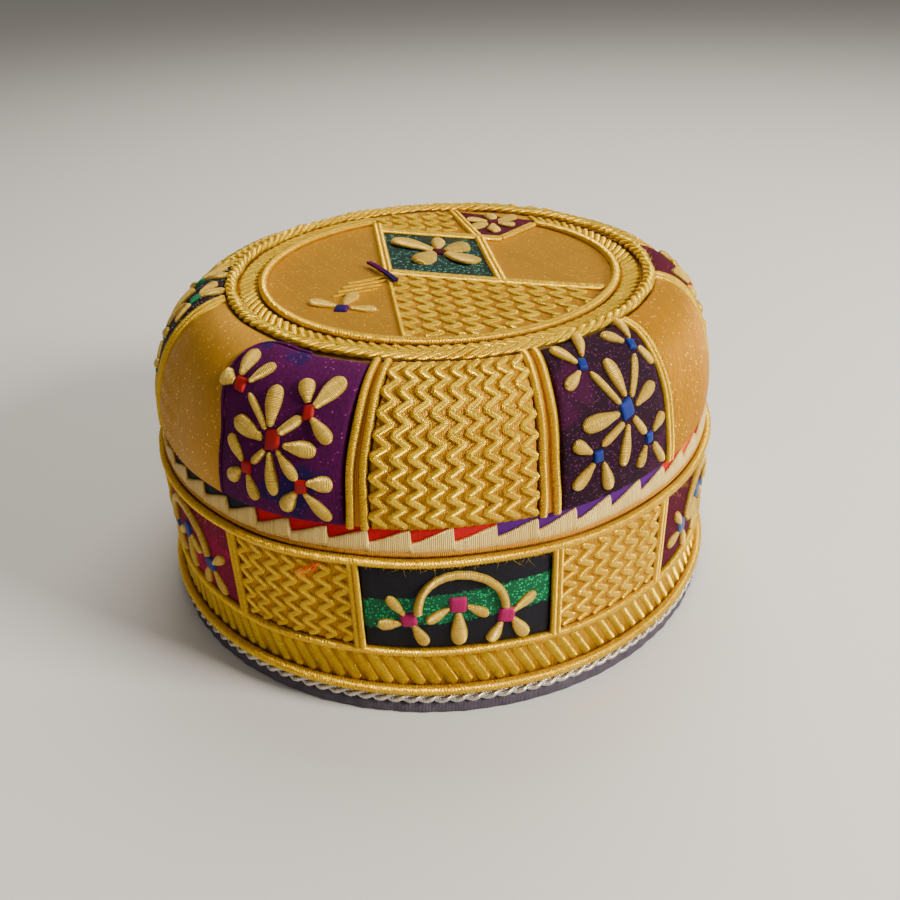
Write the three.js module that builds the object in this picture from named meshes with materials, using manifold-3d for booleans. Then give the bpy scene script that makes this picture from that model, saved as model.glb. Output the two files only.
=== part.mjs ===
// A round, stiff folk cap covered in gold couched embroidery: a side band, a puffed crown and a flat
// top, each a separate cloth wall, dressed with quilted panels, padded flowers and couched cords.
// Millimetres, +Z up. The origin is the centre of the rim's resting face, and the front panel faces -Y.
import * as THREE from "three";
import { mergeVertices } from "three/addons/utils/BufferGeometryUtils.js";
import Module from "manifold-3d";

// Walls
const RIM_RADIUS = 90; // outer face of the band's cloth above its flared foot
const BAND_HEIGHT = 54.5; // top edge of the band above the table
const FOOT_FLARE = 2.4; // how far the foot of the band stands out
const FLARE_HEIGHT = 20; // height over which the foot flares
const BAND_WALL = 2.4;
const CROWN_INSET = 1.4; // the crown's cloth starts inside the band's outer face by this much
const CROWN_RADIUS = RIM_RADIUS - CROWN_INSET;
const CROWN_RISE = 44.2; // from the foot of the crown to its top seam
const CROWN_WALL = 2.6;
const CROWN_SWELL = 1.4; // how far the side of the crown leans out
const CROWN_OFFSET = 3; // the soft top has settled this far to the right at its seam
const TOP_RADIUS = 66; // the seam between the crown's side and the round top
const SHOULDER_REACH = 20.5; // how square the shoulder is: the reach of its curve beyond the top seam
const SHOULDER_DROP = 2; // how far that curve's handle lies below the seam
const TOP_WALL = 2.2;
const TOP_DISH = 1; // the round top sinks by this much at its middle
const GAP = 0.3; // between pieces that are sewn face to face

// Panels
const PAIRS = 6; // pairs of panels round the cap: a plain or zigzag one, and a flower one
const CROWN_FLOWER_SPAN = 27.5; // degrees that a flower panel takes on the crown
const BAND_FLOWER_SPAN = 35; // degrees that a flower panel takes on the band
const PANEL_THICK = 1.1;
const CROWN_PUFF = 1.2; // padding under a crown panel, at its middle
const BAND_PUFF = 0.5;
const PETAL_RISE = 1.5;

// Cords and borders
const BINDING_THICK = 1.2;
const BINDING_RISE = 4; // outer leg of the rim's binding
const BINDING_TUCK = 12; // inner leg, turned up inside the band
const METAL_CORD = 1.2; // radius of the bright twisted cord on the rim
const HEM_CORD = 1.6; // radius of the satin cord above it
const WAIST_CORD = 1.4; // radius of the cords above and below the band's panels
const SLANT_THICK = 1;
const CROWN_DIVIDER = 6; // width of the pair of cords between crown panels
const BAND_DIVIDER = 3.4;
const DIVIDER_RISE = 1.7;
const TEETH = 50; // saw teeth round the border
const TOOTH_HEIGHT = 3.2;
const TOOTH_BAND = 3.4; // height of the border below its teeth
const TOOTH_THICK = 1.5;
const SHOULDER_CORD = 1.6; // radius of the braid on the top seam
const FIELD_CORD = 1.3; // radius of the cord round the top's field
const BRAID_WIDTH = 5.8; // slanted braid between those two
const BRAID_THICK = 1;

// Lattice on the round top
const CELL_WIDTH = 38; // the middle cell, between the middles of its bars
const CELL_DEPTH = 42;
const LATTICE_BAR = 3.2;
const LATTICE_RISE = 1.5;
const LATTICE_TURN = -9; // degrees
const LATTICE_SKEW = 12.5; // degrees that each set of bars leans from square
const LATTICE_OFFSET = 12; // the middle cell lies this far behind the centre
const TOP_PANEL = 0.8;

// Faces
const PANEL_STEPS = 3; // segments across a panel
const RISE_STEPS = 5; // segments up a crown panel
const CORD_SIDES = 5;

const COLOURS = {
  gold_cord: [0xd9b04a, 0.45, 0.35],
  gold_satin: [0xc4903a, 0.5, 0.3],
  gold_zigzag: [0xcda23c, 0.42, 0.35],
  purple_velvet: [0x3c1440, 0.9, 0],
  green_velvet: [0x12352a, 0.85, 0],
  cream_satin: [0xd8c490, 0.5, 0.1],
  slate_cloth: [0x4c4f63, 0.9, 0],
  silver_cord: [0xc9c2ae, 0.3, 0.7],
  backing_cloth: [0x9c7430, 0.8, 0.1],
};

const wasm = await Module();
wasm.setup();

const TURN = Math.PI * 2;
const radians = THREE.MathUtils.degToRad;

function material(slot) {
  const [color, roughness, metalness] = COLOURS[slot];
  return new THREE.MeshStandardMaterial({ color, roughness, metalness, name: slot });
}

// A point at an angle round the cap, 0 at the front and growing to the right, and a radius and height.
function around(angle, radius, height) {
  return new THREE.Vector3(radius * Math.sin(angle), -radius * Math.cos(angle), height);
}

// A meridian gives {r, z} for a share from 0 at its foot to 1 at its top. This returns the point that
// lies `lift` outside it, along its own normal.
function lifted(meridian, share, lift) {
  const STEP = 1e-4;
  const at = meridian(share);
  const below = meridian(share - STEP);
  const above = meridian(share + STEP);
  const along = new THREE.Vector2(above.r - below.r, above.z - below.z).normalize();
  return { r: at.r + along.y * lift, z: at.z - along.x * lift };
}

// Band: a cylinder whose foot flares out in a soft S.
function bandMeridian(share) {
  const z = share * BAND_HEIGHT;
  const flare = THREE.MathUtils.smoothstep(FLARE_HEIGHT - z, 0, FLARE_HEIGHT);
  return { r: RIM_RADIUS + FOOT_FLARE * flare, z };
}

// Crown: one cubic curve from the top of the band, out to the shoulder and in to the top seam.
const CROWN_FOOT = BAND_HEIGHT + GAP;
const CROWN_TOP = CROWN_FOOT + CROWN_RISE;
const crownCurve = new THREE.CubicBezierCurve(
  new THREE.Vector2(CROWN_RADIUS, CROWN_FOOT),
  new THREE.Vector2(CROWN_RADIUS + CROWN_SWELL, CROWN_FOOT + CROWN_RISE * 0.3),
  new THREE.Vector2(TOP_RADIUS + SHOULDER_REACH, CROWN_TOP - SHOULDER_DROP),
  new THREE.Vector2(TOP_RADIUS, CROWN_TOP),
);
function crownMeridian(share) {
  const p = new THREE.Vector2();
  crownCurve.getPoint(share, p);
  return { r: p.x, z: p.y };
}

// Round top: from its edge (0) to its middle (1), sinking slightly.
function topHeight(radius) {
  const share = Math.min(1, radius / TOP_RADIUS);
  return CROWN_TOP - TOP_DISH * (1 - share * share);
}

// Panels are laid round the cap in pairs. Each row is a panel: its kind, and where it starts and ends.
function panelRows(flowerSpan, kinds) {
  const pair = 360 / PAIRS;
  const plainSpan = pair - flowerSpan;
  const rows = [];
  for (let i = 0; i < PAIRS; i++) {
    const middle = i * pair;
    rows.push({ kind: kinds[i % kinds.length], from: middle - plainSpan / 2, to: middle + plainSpan / 2 });
    rows.push({ kind: "flower", from: middle + plainSpan / 2, to: middle + pair - plainSpan / 2 });
  }
  return rows.map((row) => ({ kind: row.kind, from: radians(row.from), to: radians(row.to) }));
}
const crownPanels = panelRows(CROWN_FLOWER_SPAN, ["zigzag", "satin"]);
const bandPanels = panelRows(360 / PAIRS - BAND_FLOWER_SPAN, ["zigzag"]).map((row) => ({
  ...row,
  kind: row.kind === "flower" ? "zigzag" : "flower",
}));

// Angles of the columns of a wall, so that a wall and the panels on it share their facets.
function columnsOf(rows, halfDivider) {
  const angles = [];
  for (const { from, to } of rows) {
    angles.push(from);
    for (let k = 0; k <= PANEL_STEPS; k++)
      angles.push(THREE.MathUtils.lerp(from + halfDivider, to - halfDivider, k / PANEL_STEPS));
  }
  return angles;
}
const crownHalf = CROWN_DIVIDER / 2 / RIM_RADIUS;
const bandHalf = BAND_DIVIDER / 2 / RIM_RADIUS;
const crownColumns = columnsOf(crownPanels, crownHalf);
const bandColumns = columnsOf(bandPanels, bandHalf);

// The padding under a panel swells from its four edges to its middle. It starts at the share `foot`.
function puffAt(rows, angle, share, foot, height) {
  const turned = (a) => THREE.MathUtils.euclideanModulo(a, TURN);
  const row = rows.find(({ from, to }) => turned(angle - from) <= to - from + 1e-9);
  if (!row) return 0;
  const across = (turned(angle - row.from) / (row.to - row.from)) * 2 - 1;
  const up = THREE.MathUtils.clamp((share - foot) / (1 - foot), 0, 1) * 2 - 1;
  return height * Math.max(0, 1 - across ** 4) * Math.max(0, 1 - up ** 4);
}

function crownPoint(angle, share, lift) {
  const puff = puffAt(crownPanels, angle, share, CROWN_PANEL_FOOT, CROWN_PUFF);
  const { r, z } = lifted(crownMeridian, share, lift + puff);
  return around(angle, r, z);
}

function bandPoint(angle, share, lift) {
  const puff = puffAt(bandPanels, angle, share, PANEL_FOOT / BAND_HEIGHT, BAND_PUFF);
  const { r, z } = lifted(bandMeridian, share, lift + puff);
  return around(angle, r, z);
}

// A closed solid between two grids of points, outer and inner, each (column, row). Both sides fold
// along the same diagonals, so that sheets laid over each other stay clear. A closed sheet meets
// itself round the cap.
function sheetSolid(columns, rows, outer, inner, closed = false) {
  const points = [];
  const index = (side, i, j) => (side * columns + (closed ? i % columns : i)) * rows + j;
  for (const side of [outer, inner])
    for (let i = 0; i < columns; i++) for (let j = 0; j < rows; j++) points.push(side(i, j));
  const faces = [];
  const quad = (a, b, c, d) => faces.push(a, b, c, a, c, d);
  const spans = closed ? columns : columns - 1;
  for (let i = 0; i < spans; i++)
    for (let j = 0; j < rows - 1; j++) {
      quad(index(0, i, j), index(0, i + 1, j), index(0, i + 1, j + 1), index(0, i, j + 1));
      quad(index(1, i, j), index(1, i, j + 1), index(1, i + 1, j + 1), index(1, i + 1, j));
    }
  for (let i = 0; i < spans; i++) {
    const last = rows - 1;
    quad(index(1, i, 0), index(1, i + 1, 0), index(0, i + 1, 0), index(0, i, 0));
    quad(index(0, i, last), index(0, i + 1, last), index(1, i + 1, last), index(1, i, last));
  }
  if (!closed)
    for (let j = 0; j < rows - 1; j++) {
      const last = columns - 1;
      quad(index(0, 0, j), index(0, 0, j + 1), index(1, 0, j + 1), index(1, 0, j));
      quad(index(1, last, j), index(1, last, j + 1), index(0, last, j + 1), index(0, last, j));
    }
  return solidGeometry(points, faces);
}

// Geometry from points and faces, turned to face outwards.
function solidGeometry(points, faces) {
  let volume = 0;
  for (let k = 0; k < faces.length; k += 3) {
    const [a, b, c] = [0, 1, 2].map((n) => points[faces[k + n]]);
    volume += a.dot(new THREE.Vector3().crossVectors(b, c));
  }
  if (volume < 0) faces.reverse();
  const geometry = new THREE.BufferGeometry().setFromPoints(points);
  geometry.setIndex(faces);
  geometry.computeVertexNormals();
  return geometry;
}

// A ring whose section is a closed list of {r, z}, with its columns at the given angles.
function ringSolid(section, angles) {
  const points = angles.flatMap((angle) => section.map(({ r, z }) => around(angle, r, z)));
  const faces = [];
  const n = section.length;
  const at = (i, j) => (i % angles.length) * n + (j % n);
  for (let i = 0; i < angles.length; i++)
    for (let j = 0; j < n; j++)
      faces.push(at(i, j), at(i + 1, j), at(i + 1, j + 1), at(i, j), at(i + 1, j + 1), at(i, j + 1));
  return solidGeometry(points, faces);
}

function evenAngles(count) {
  return Array.from({ length: count }, (_, i) => (i / count) * TURN);
}

// Section of a round cord of a given radius, centred on {r, z}.
function cordSection(centre, radius) {
  return evenAngles(CORD_SIDES).map((a) => ({
    r: centre.r + radius * Math.cos(a),
    z: centre.z + radius * Math.sin(a),
  }));
}

// A faceted ring bends in from its true circle midway between its columns. The tooth border has columns
// of its own, so it stands off the wall by that much more.
const FACET = RIM_RADIUS * (1 - Math.cos(TURN / TEETH / 2));

function toManifold(geometry) {
  const bare = geometry.clone();
  bare.deleteAttribute("normal");
  bare.deleteAttribute("uv");
  const merged = mergeVertices(bare, 1e-4);
  return new wasm.Manifold(
    new wasm.Mesh({
      numProp: 3,
      vertProperties: merged.attributes.position.array,
      triVerts: new Uint32Array(merged.index.array),
    }),
  );
}

function fromManifold(solid) {
  const { vertProperties, triVerts } = solid.getMesh();
  const geometry = new THREE.BufferGeometry();
  geometry.setAttribute("position", new THREE.BufferAttribute(new Float32Array(vertProperties), 3));
  geometry.setIndex(new THREE.BufferAttribute(new Uint32Array(triVerts), 1));
  geometry.computeVertexNormals();
  return geometry;
}

function joined(geometries) {
  return fromManifold(geometries.map(toManifold).reduce((sum, solid) => sum.add(solid)));
}

// The crown keeps its place at its foot and moves to the right towards its top, with the cube of the rise.
function settled(geometry) {
  const position = geometry.attributes.position;
  for (let k = 0; k < position.count; k++) {
    const rise = Math.max(0, position.getZ(k) - BAND_HEIGHT) / CROWN_RISE;
    position.setX(k, position.getX(k) + CROWN_OFFSET * rise ** 3);
  }
  geometry.computeVertexNormals();
  return geometry;
}

function piece(name, slot, geometry) {
  const mesh = new THREE.Mesh(settled(geometry), material(slot));
  mesh.name = name;
  return mesh;
}

// Petals
// A petal is a padded lozenge from one end to the other, in the shares of its panel. Each row gives
// its two ends, across and up from -1 to 1, and its half width as a share of the panel's half width.
const crownFlowerRows = [
  { from: [0, 0.24], to: [0, 0.7], width: 0.2 },
  { from: [0, -0.24], to: [0, -0.74], width: 0.2 },
  { from: [0.3, 0], to: [0.76, 0.02], width: 0.2 },
  { from: [-0.3, 0], to: [-0.76, 0.02], width: 0.2 },
  { from: [-0.2, 0], to: [0.2, 0], width: 0.18 },
];

const bandFlowerRows = [
  { from: [0, 0.1], to: [0, -0.82], width: 0.13 },
  { from: [0.56, -0.24], to: [0.82, -0.7], width: 0.13 },
  { from: [-0.56, -0.24], to: [-0.82, -0.7], width: 0.13 },
  { from: [0.5, 0.1], to: [0.06, 0.7], width: 0.1 },
  { from: [-0.5, 0.1], to: [-0.06, 0.7], width: 0.1 },
];

const topFlowerRows = [
  { from: [-0.16, 0], to: [0.16, 0], width: 0.16 },
  { from: [0.24, 0.18], to: [0.74, 0.56], width: 0.2 },
  { from: [-0.24, 0.18], to: [-0.74, 0.56], width: 0.2 },
  { from: [0.24, -0.18], to: [0.74, -0.56], width: 0.2 },
  { from: [-0.24, -0.18], to: [-0.74, -0.56], width: 0.2 },
];

// One petal on a panel. `place` takes shares across and up and a lift in millimetres, and `halfAcross`
// and `halfUp` are the panel's half sizes in millimetres. The petal is sunk a little way into the
// panel's cloth, so that the two are one piece.
const PETAL_WIDEST = 0.6; // how far along a petal is widest
const PETAL_CREST = 0.5; // and highest
function petalSolid(row, place, halfAcross, halfUp, base, thick) {
  const from = new THREE.Vector2(row.from[0] * halfAcross, row.from[1] * halfUp);
  const to = new THREE.Vector2(row.to[0] * halfAcross, row.to[1] * halfUp);
  const along = to.clone().sub(from);
  const side = new THREE.Vector2(-along.y, along.x).setLength(row.width * halfAcross);
  const waist = from.clone().addScaledVector(along, PETAL_WIDEST);
  const ring = [from, waist.clone().add(side), to, waist.clone().sub(side)];
  const put = (p, lift) => place(p.x / halfAcross, p.y / halfUp, lift);
  const points = [
    ...ring.map((p) => put(p, base - thick / 4)),
    ...ring.map((p) => put(p, base + PETAL_RISE * 0.4)),
    put(from.clone().addScaledVector(along, PETAL_CREST), base + PETAL_RISE),
  ];
  const n = ring.length;
  const faces = [0, 2, 1, 0, 3, 2];
  for (let k = 0; k < n; k++) {
    const next = (k + 1) % n;
    faces.push(k, next, n + next, k, n + next, n + k, n + k, n + next, 2 * n);
  }
  return solidGeometry(points, faces);
}

// The same place on a panel, but on its flat facets rather than its true curve.
function onFacets(place, columns, rows) {
  const facet = (share, count) => {
    const at = ((share + 1) / 2) * (count - 1);
    const k = THREE.MathUtils.clamp(Math.floor(at), 0, count - 2);
    return [k, at - k];
  };
  return (across, up, lift) => {
    const [i, a] = facet(across, columns);
    const [j, b] = facet(up, rows);
    const corner = (m, n) => place((m / (columns - 1)) * 2 - 1, (n / (rows - 1)) * 2 - 1, lift);
    const low = corner(i, j).lerp(corner(i + 1, j), a);
    const high = corner(i, j + 1).lerp(corner(i + 1, j + 1), a);
    return low.lerp(high, b);
  };
}

// Rim: binding, bright twisted cord and satin cord
function rimPieces() {
  const foot = bandMeridian(0).r;
  const outside = foot + GAP + BINDING_THICK;
  const inside = foot - BAND_WALL - GAP - BINDING_THICK;
  const tuck = bandMeridian(BINDING_TUCK / BAND_HEIGHT).r - BAND_WALL - GAP;
  const EASE = 0.5; // softened corners of the fold
  const section = [
    { r: inside + EASE, z: 0 },
    { r: outside - EASE, z: 0 },
    { r: outside, z: EASE },
    { r: bandMeridian(BINDING_RISE / BAND_HEIGHT).r + GAP + BINDING_THICK, z: BINDING_RISE },
    { r: bandMeridian(BINDING_RISE / BAND_HEIGHT).r + GAP, z: BINDING_RISE },
    { r: foot + GAP, z: BINDING_THICK },
    { r: foot - BAND_WALL - GAP, z: BINDING_THICK },
    { r: tuck, z: BINDING_TUCK },
    { r: tuck - BINDING_THICK, z: BINDING_TUCK },
    { r: inside, z: EASE },
  ];
  const angles = bandColumns;
  const metal = seatedCord(bandMeridian, BINDING_RISE + GAP + METAL_CORD, METAL_CORD);
  const hem = seatedCord(bandMeridian, BINDING_RISE + 2 * GAP + 2 * METAL_CORD + HEM_CORD, HEM_CORD);
  return [
    piece("rim_binding", "slate_cloth", ringSolid(section, angles)),
    piece("rim_twist", "silver_cord", ringSolid(metal, angles)),
    piece("hem_cord", "gold_cord", ringSolid(hem, angles)),
  ];
}

// Section of a cord that lies on the outside of the band at a height.
function seatedCord(meridian, height, radius) {
  const { r, z } = lifted(meridian, height / BAND_HEIGHT, radius + GAP);
  return cordSection({ r, z }, radius);
}

// Heights on the band, from its rim up
const HEM_TOP = BINDING_RISE + 2 * GAP + 2 * METAL_CORD + 2 * HEM_CORD;
const WAIST_HEIGHT = FLARE_HEIGHT + WAIST_CORD; // centre of the cord below the panels
const COLLAR_HEIGHT = BAND_HEIGHT - WAIST_CORD - GAP; // centre of the cord above them
const PANEL_FOOT = WAIST_HEIGHT + WAIST_CORD + GAP;
const PANEL_HEAD = COLLAR_HEIGHT - WAIST_CORD - GAP;

// Band: cloth wall, slanted border, panels, and the frame of couched cords round them
function bandPieces() {
  const wallRows = [BINDING_THICK + GAP, FLARE_HEIGHT / 3, (2 * FLARE_HEIGHT) / 3, FLARE_HEIGHT, BAND_HEIGHT];
  const wall = (lift) => (i, j) => {
    const { r, z } = lifted(bandMeridian, wallRows[j] / BAND_HEIGHT, lift);
    return around(bandColumns[i], r, j === 0 || j === wallRows.length - 1 ? wallRows[j] : z);
  };
  const pieces = [
    piece(
      "band_wall",
      "backing_cloth",
      sheetSolid(bandColumns.length, wallRows.length, wall(0), wall(-BAND_WALL), true),
    ),
  ];
  const slantRows = [HEM_TOP + GAP, (HEM_TOP + WAIST_HEIGHT - WAIST_CORD) / 2, WAIST_HEIGHT - WAIST_CORD - GAP];
  const slant = (lift) => (i, j) => {
    const { r, z } = lifted(bandMeridian, slantRows[j] / BAND_HEIGHT, lift);
    return around(bandColumns[i], r, z);
  };
  pieces.push(
    piece(
      "slant_border",
      "gold_zigzag",
      sheetSolid(bandColumns.length, slantRows.length, slant(GAP + SLANT_THICK), slant(GAP), true),
    ),
  );
  bandPanels.forEach((row, n) => pieces.push(bandPanel(row, n + 1)));
  const uprights = bandPanels.map(({ from }) => bandUpright(from));
  const rings = [WAIST_HEIGHT, COLLAR_HEIGHT].map((height) =>
    ringSolid(seatedCord(bandMeridian, height, WAIST_CORD), bandColumns),
  );
  pieces.push(piece("band_frame", "gold_cord", joined([...rings, ...uprights])));
  return pieces;
}

// An upright cord between two panels. Its ends reach into the ring cords, which it is one piece with.
function bandUpright(angle) {
  const halfWidth = bandHalf * 0.8;
  const base = GAP + BAND_PUFF * 0.2;
  const section = [
    { across: -1, lift: base + DIVIDER_RISE * 0.3 },
    { across: -0.5, lift: base + DIVIDER_RISE },
    { across: 0.5, lift: base + DIVIDER_RISE },
    { across: 1, lift: base + DIVIDER_RISE * 0.3 },
  ];
  const heights = [WAIST_HEIGHT, (WAIST_HEIGHT + COLLAR_HEIGHT) / 2, COLLAR_HEIGHT];
  const at = (lift) => (i, j) => {
    const { r, z } = lifted(bandMeridian, heights[j] / BAND_HEIGHT, lift(i));
    return around(angle + section[i].across * halfWidth, r, z);
  };
  return sheetSolid(section.length, heights.length, at((i) => section[i].lift), at(() => base));
}

const BAND_ROWS = 3; // points up a band panel
function bandPanel({ kind, from, to }, number) {
  const clear = bandHalf + GAP / RIM_RADIUS;
  const angleAt = (across) => THREE.MathUtils.lerp(from + clear, to - clear, (across + 1) / 2);
  const shareAt = (up) => THREE.MathUtils.lerp(PANEL_FOOT, PANEL_HEAD, (up + 1) / 2) / BAND_HEIGHT;
  const place = (across, up, lift) => bandPoint(angleAt(across), shareAt(up), lift);
  const geometry = panelSheet(place, PANEL_STEPS + 1, BAND_ROWS, PANEL_THICK);
  if (kind === "zigzag") return piece(`band_zigzag_${number}`, "gold_zigzag", geometry);
  const flat = onFacets(place, PANEL_STEPS + 1, BAND_ROWS);
  const halfAcross = ((to - from) / 2 - clear) * RIM_RADIUS;
  const halfUp = (PANEL_HEAD - PANEL_FOOT) / 2;
  const petals = bandFlowerRows.map((row) =>
    petalSolid(row, flat, halfAcross, halfUp, GAP + PANEL_THICK, PANEL_THICK),
  );
  return piece(`band_flower_${number}`, "green_velvet", joined([geometry, ...petals]));
}

function panelSheet(place, columns, rows, thick) {
  const at = (lift) => (i, j) => place((i / (columns - 1)) * 2 - 1, (j / (rows - 1)) * 2 - 1, lift);
  return sheetSolid(columns, rows, at(GAP + thick), at(GAP));
}

// Saw-toothed satin border over the seam between band and crown
function toothBorder() {
  // Each tooth has two columns: the low side, then the tall side, which drops to the next one's start.
  const angles = [];
  for (let i = 0; i < TEETH; i++) {
    angles.push((i / TEETH) * TURN);
    angles.push(((i + 0.88) / TEETH) * TURN);
  }
  const foot = CROWN_FOOT + GAP;
  const profile = (i) => {
    const top = foot + TOOTH_BAND + (i % 2 === 1 ? TOOTH_HEIGHT : 0);
    return [foot, foot + TOOTH_BAND / 2, top];
  };
  const share = (z) => (z - CROWN_FOOT) / CROWN_RISE;
  const swelling = [0.7, 1, 0.6];
  const at = (lift) => (i, j) => {
    const { r } = lifted(crownAtHeight, share(profile(i)[j]), lift(j));
    return around(angles[i], r, profile(i)[j]);
  };
  const skin = GAP + FACET * 2;
  return piece(
    "tooth_border",
    "cream_satin",
    sheetSolid(angles.length, 3, at((j) => skin + TOOTH_THICK * swelling[j]), at(() => skin), true),
  );
}

// The crown's meridian by height rather than by share of its curve, near its foot.
function crownAtHeight(share) {
  const height = CROWN_FOOT + share * CROWN_RISE;
  let low = -0.2;
  let high = 0.8;
  for (let k = 0; k < 40; k++) {
    const middle = (low + high) / 2;
    if (crownMeridian(middle).z < height) low = middle;
    else high = middle;
  }
  return crownMeridian(low);
}
function crownShareAt(height) {
  let low = 0;
  let high = 0.9;
  for (let k = 0; k < 40; k++) {
    const middle = (low + high) / 2;
    if (crownMeridian(middle).z < height) low = middle;
    else high = middle;
  }
  return low;
}

// Crown: cloth wall, panels, and a pair of cords between panels
const CROWN_PANEL_FOOT = crownShareAt(CROWN_FOOT + TOOTH_BAND + TOOTH_HEIGHT + 2 * GAP);
const CROWN_PANEL_HEAD = 0.95;
function crownPieces() {
  const risers = Array.from({ length: RISE_STEPS + 1 }, (_, k) => k / RISE_STEPS);
  const shares = [0, ...risers.map((k) => THREE.MathUtils.lerp(CROWN_PANEL_FOOT, CROWN_PANEL_HEAD, k)), 1];
  const last = shares.length - 1;
  const outer = (i, j) => crownPoint(crownColumns[i], shares[j], 0);
  const inner = (i, j) => {
    if (j === last) return around(crownColumns[i], TOP_RADIUS, CROWN_TOP - CROWN_WALL);
    const { r, z } = lifted(crownMeridian, shares[j], -CROWN_WALL);
    return around(crownColumns[i], r, j === 0 ? CROWN_FOOT : z);
  };
  const pieces = [
    piece("crown_wall", "backing_cloth", sheetSolid(crownColumns.length, shares.length, outer, inner, true)),
  ];
  crownPanels.forEach((row, n) => {
    pieces.push(crownPanel(row, n + 1));
    pieces.push(crownDivider(row.from, n + 1));
  });
  return pieces;
}

function crownPanel({ kind, from, to }, number) {
  const clear = crownHalf + GAP / RIM_RADIUS;
  const angleAt = (across) => THREE.MathUtils.lerp(from + clear, to - clear, (across + 1) / 2);
  const shareAt = (up) => THREE.MathUtils.lerp(CROWN_PANEL_FOOT, CROWN_PANEL_HEAD, (up + 1) / 2);
  const place = (across, up, lift) => crownPoint(angleAt(across), shareAt(up), lift);
  const geometry = panelSheet(place, PANEL_STEPS + 1, RISE_STEPS + 1, PANEL_THICK);
  if (kind === "zigzag") return piece(`crown_zigzag_${number}`, "gold_zigzag", geometry);
  if (kind === "satin") return piece(`crown_satin_${number}`, "gold_satin", geometry);
  const flat = onFacets(place, PANEL_STEPS + 1, RISE_STEPS + 1);
  const halfAcross = ((to - from) / 2 - clear) * RIM_RADIUS;
  const halfUp = CROWN_RISE / 2;
  const petals = crownFlowerRows.map((row) =>
    petalSolid(row, flat, halfAcross, halfUp, GAP + PANEL_THICK, PANEL_THICK),
  );
  return piece(`crown_flower_${number}`, "purple_velvet", joined([geometry, ...petals]));
}

function crownDivider(angle, number) {
  const halfWidth = crownHalf - GAP / RIM_RADIUS;
  const section = [
    { across: -1, rise: 0.3 },
    { across: -0.5, rise: 1 },
    { across: 0.5, rise: 1 },
    { across: 1, rise: 0.3 },
  ];
  const rows = RISE_STEPS + 1;
  const at = (lift) => (i, j) => {
    const share = THREE.MathUtils.lerp(CROWN_PANEL_FOOT, CROWN_PANEL_HEAD, j / RISE_STEPS);
    return crownPoint(angle + section[i].across * halfWidth, share, GAP + lift(i));
  };
  const geometry = sheetSolid(section.length, rows, at((i) => section[i].rise * DIVIDER_RISE), at(() => 0));
  return piece(`crown_divider_${number}`, "gold_cord", geometry);
}

// Round top
const SEAM_RADIUS = TOP_RADIUS - GAP; // edge of the round top
const BRAID_OUTER = SEAM_RADIUS - SHOULDER_CORD - GAP;
const BRAID_INNER = BRAID_OUTER - BRAID_WIDTH;
const FIELD_RING = BRAID_INNER - GAP - FIELD_CORD; // centre of the cord round the field
const FIELD_RADIUS = FIELD_RING - FIELD_CORD - GAP;

function topSheet(name, slot, radii, low, high, angles) {
  const at = (lift) => (i, j) => around(angles[i], radii[j], topHeight(radii[j]) + lift);
  return piece(name, slot, sheetSolid(angles.length, radii.length, at(high), at(low), true));
}

function topDisc() {
  const angles = crownColumns;
  const rings = [SEAM_RADIUS, BRAID_OUTER, FIELD_RING, FIELD_RADIUS / 2];
  const points = [];
  for (const lift of [0, -TOP_WALL]) {
    for (const radius of rings)
      for (const angle of angles) points.push(around(angle, radius, topHeight(radius) + lift));
    points.push(around(0, 0, topHeight(0) + lift));
  }
  const half = points.length / 2;
  const n = angles.length;
  const last = rings.length - 1;
  const at = (side, k, i) => side * half + k * n + (i % n);
  const faces = [];
  for (let i = 0; i < n; i++) {
    for (let k = 0; k < last; k++) {
      faces.push(at(0, k, i), at(0, k, i + 1), at(0, k + 1, i + 1), at(0, k, i), at(0, k + 1, i + 1), at(0, k + 1, i));
      faces.push(at(1, k, i), at(1, k + 1, i + 1), at(1, k, i + 1), at(1, k, i), at(1, k + 1, i), at(1, k + 1, i + 1));
    }
    faces.push(at(0, last, i), at(0, last, i + 1), half - 1);
    faces.push(at(1, last, i + 1), at(1, last, i), 2 * half - 1);
    faces.push(at(0, 0, i), at(1, 0, i + 1), at(0, 0, i + 1), at(0, 0, i), at(1, 0, i), at(1, 0, i + 1));
  }
  return piece("top_disc", "backing_cloth", solidGeometry(points, faces));
}

// The lattice's own axes: across and away, each leaning from square by the skew.
const acrossDir = new THREE.Vector2(1, 0).rotateAround(new THREE.Vector2(), radians(LATTICE_TURN - LATTICE_SKEW));
const awayDir = new THREE.Vector2(0, 1).rotateAround(new THREE.Vector2(), radians(LATTICE_TURN + LATTICE_SKEW));
const latticePoint = (u, v) =>
  new THREE.Vector2(0, LATTICE_OFFSET).addScaledVector(acrossDir, u).addScaledVector(awayDir, v);
const COLUMN_NAMES = ["left", "", "right"];
const ROW_NAMES = ["front", "", "back"];

// A flat-bottomed plate over a four-sided patch of the lattice, cut round to the field.
function latticePlate([u0, u1], [v0, v1], low, high) {
  const corners = [latticePoint(u0, v0), latticePoint(u1, v0), latticePoint(u1, v1), latticePoint(u0, v1)];
  const shape = new THREE.Shape(corners);
  const plate = new THREE.ExtrudeGeometry(shape, { depth: high - low, bevelEnabled: false }).translate(0, 0, low);
  return toManifold(plate);
}

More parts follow.
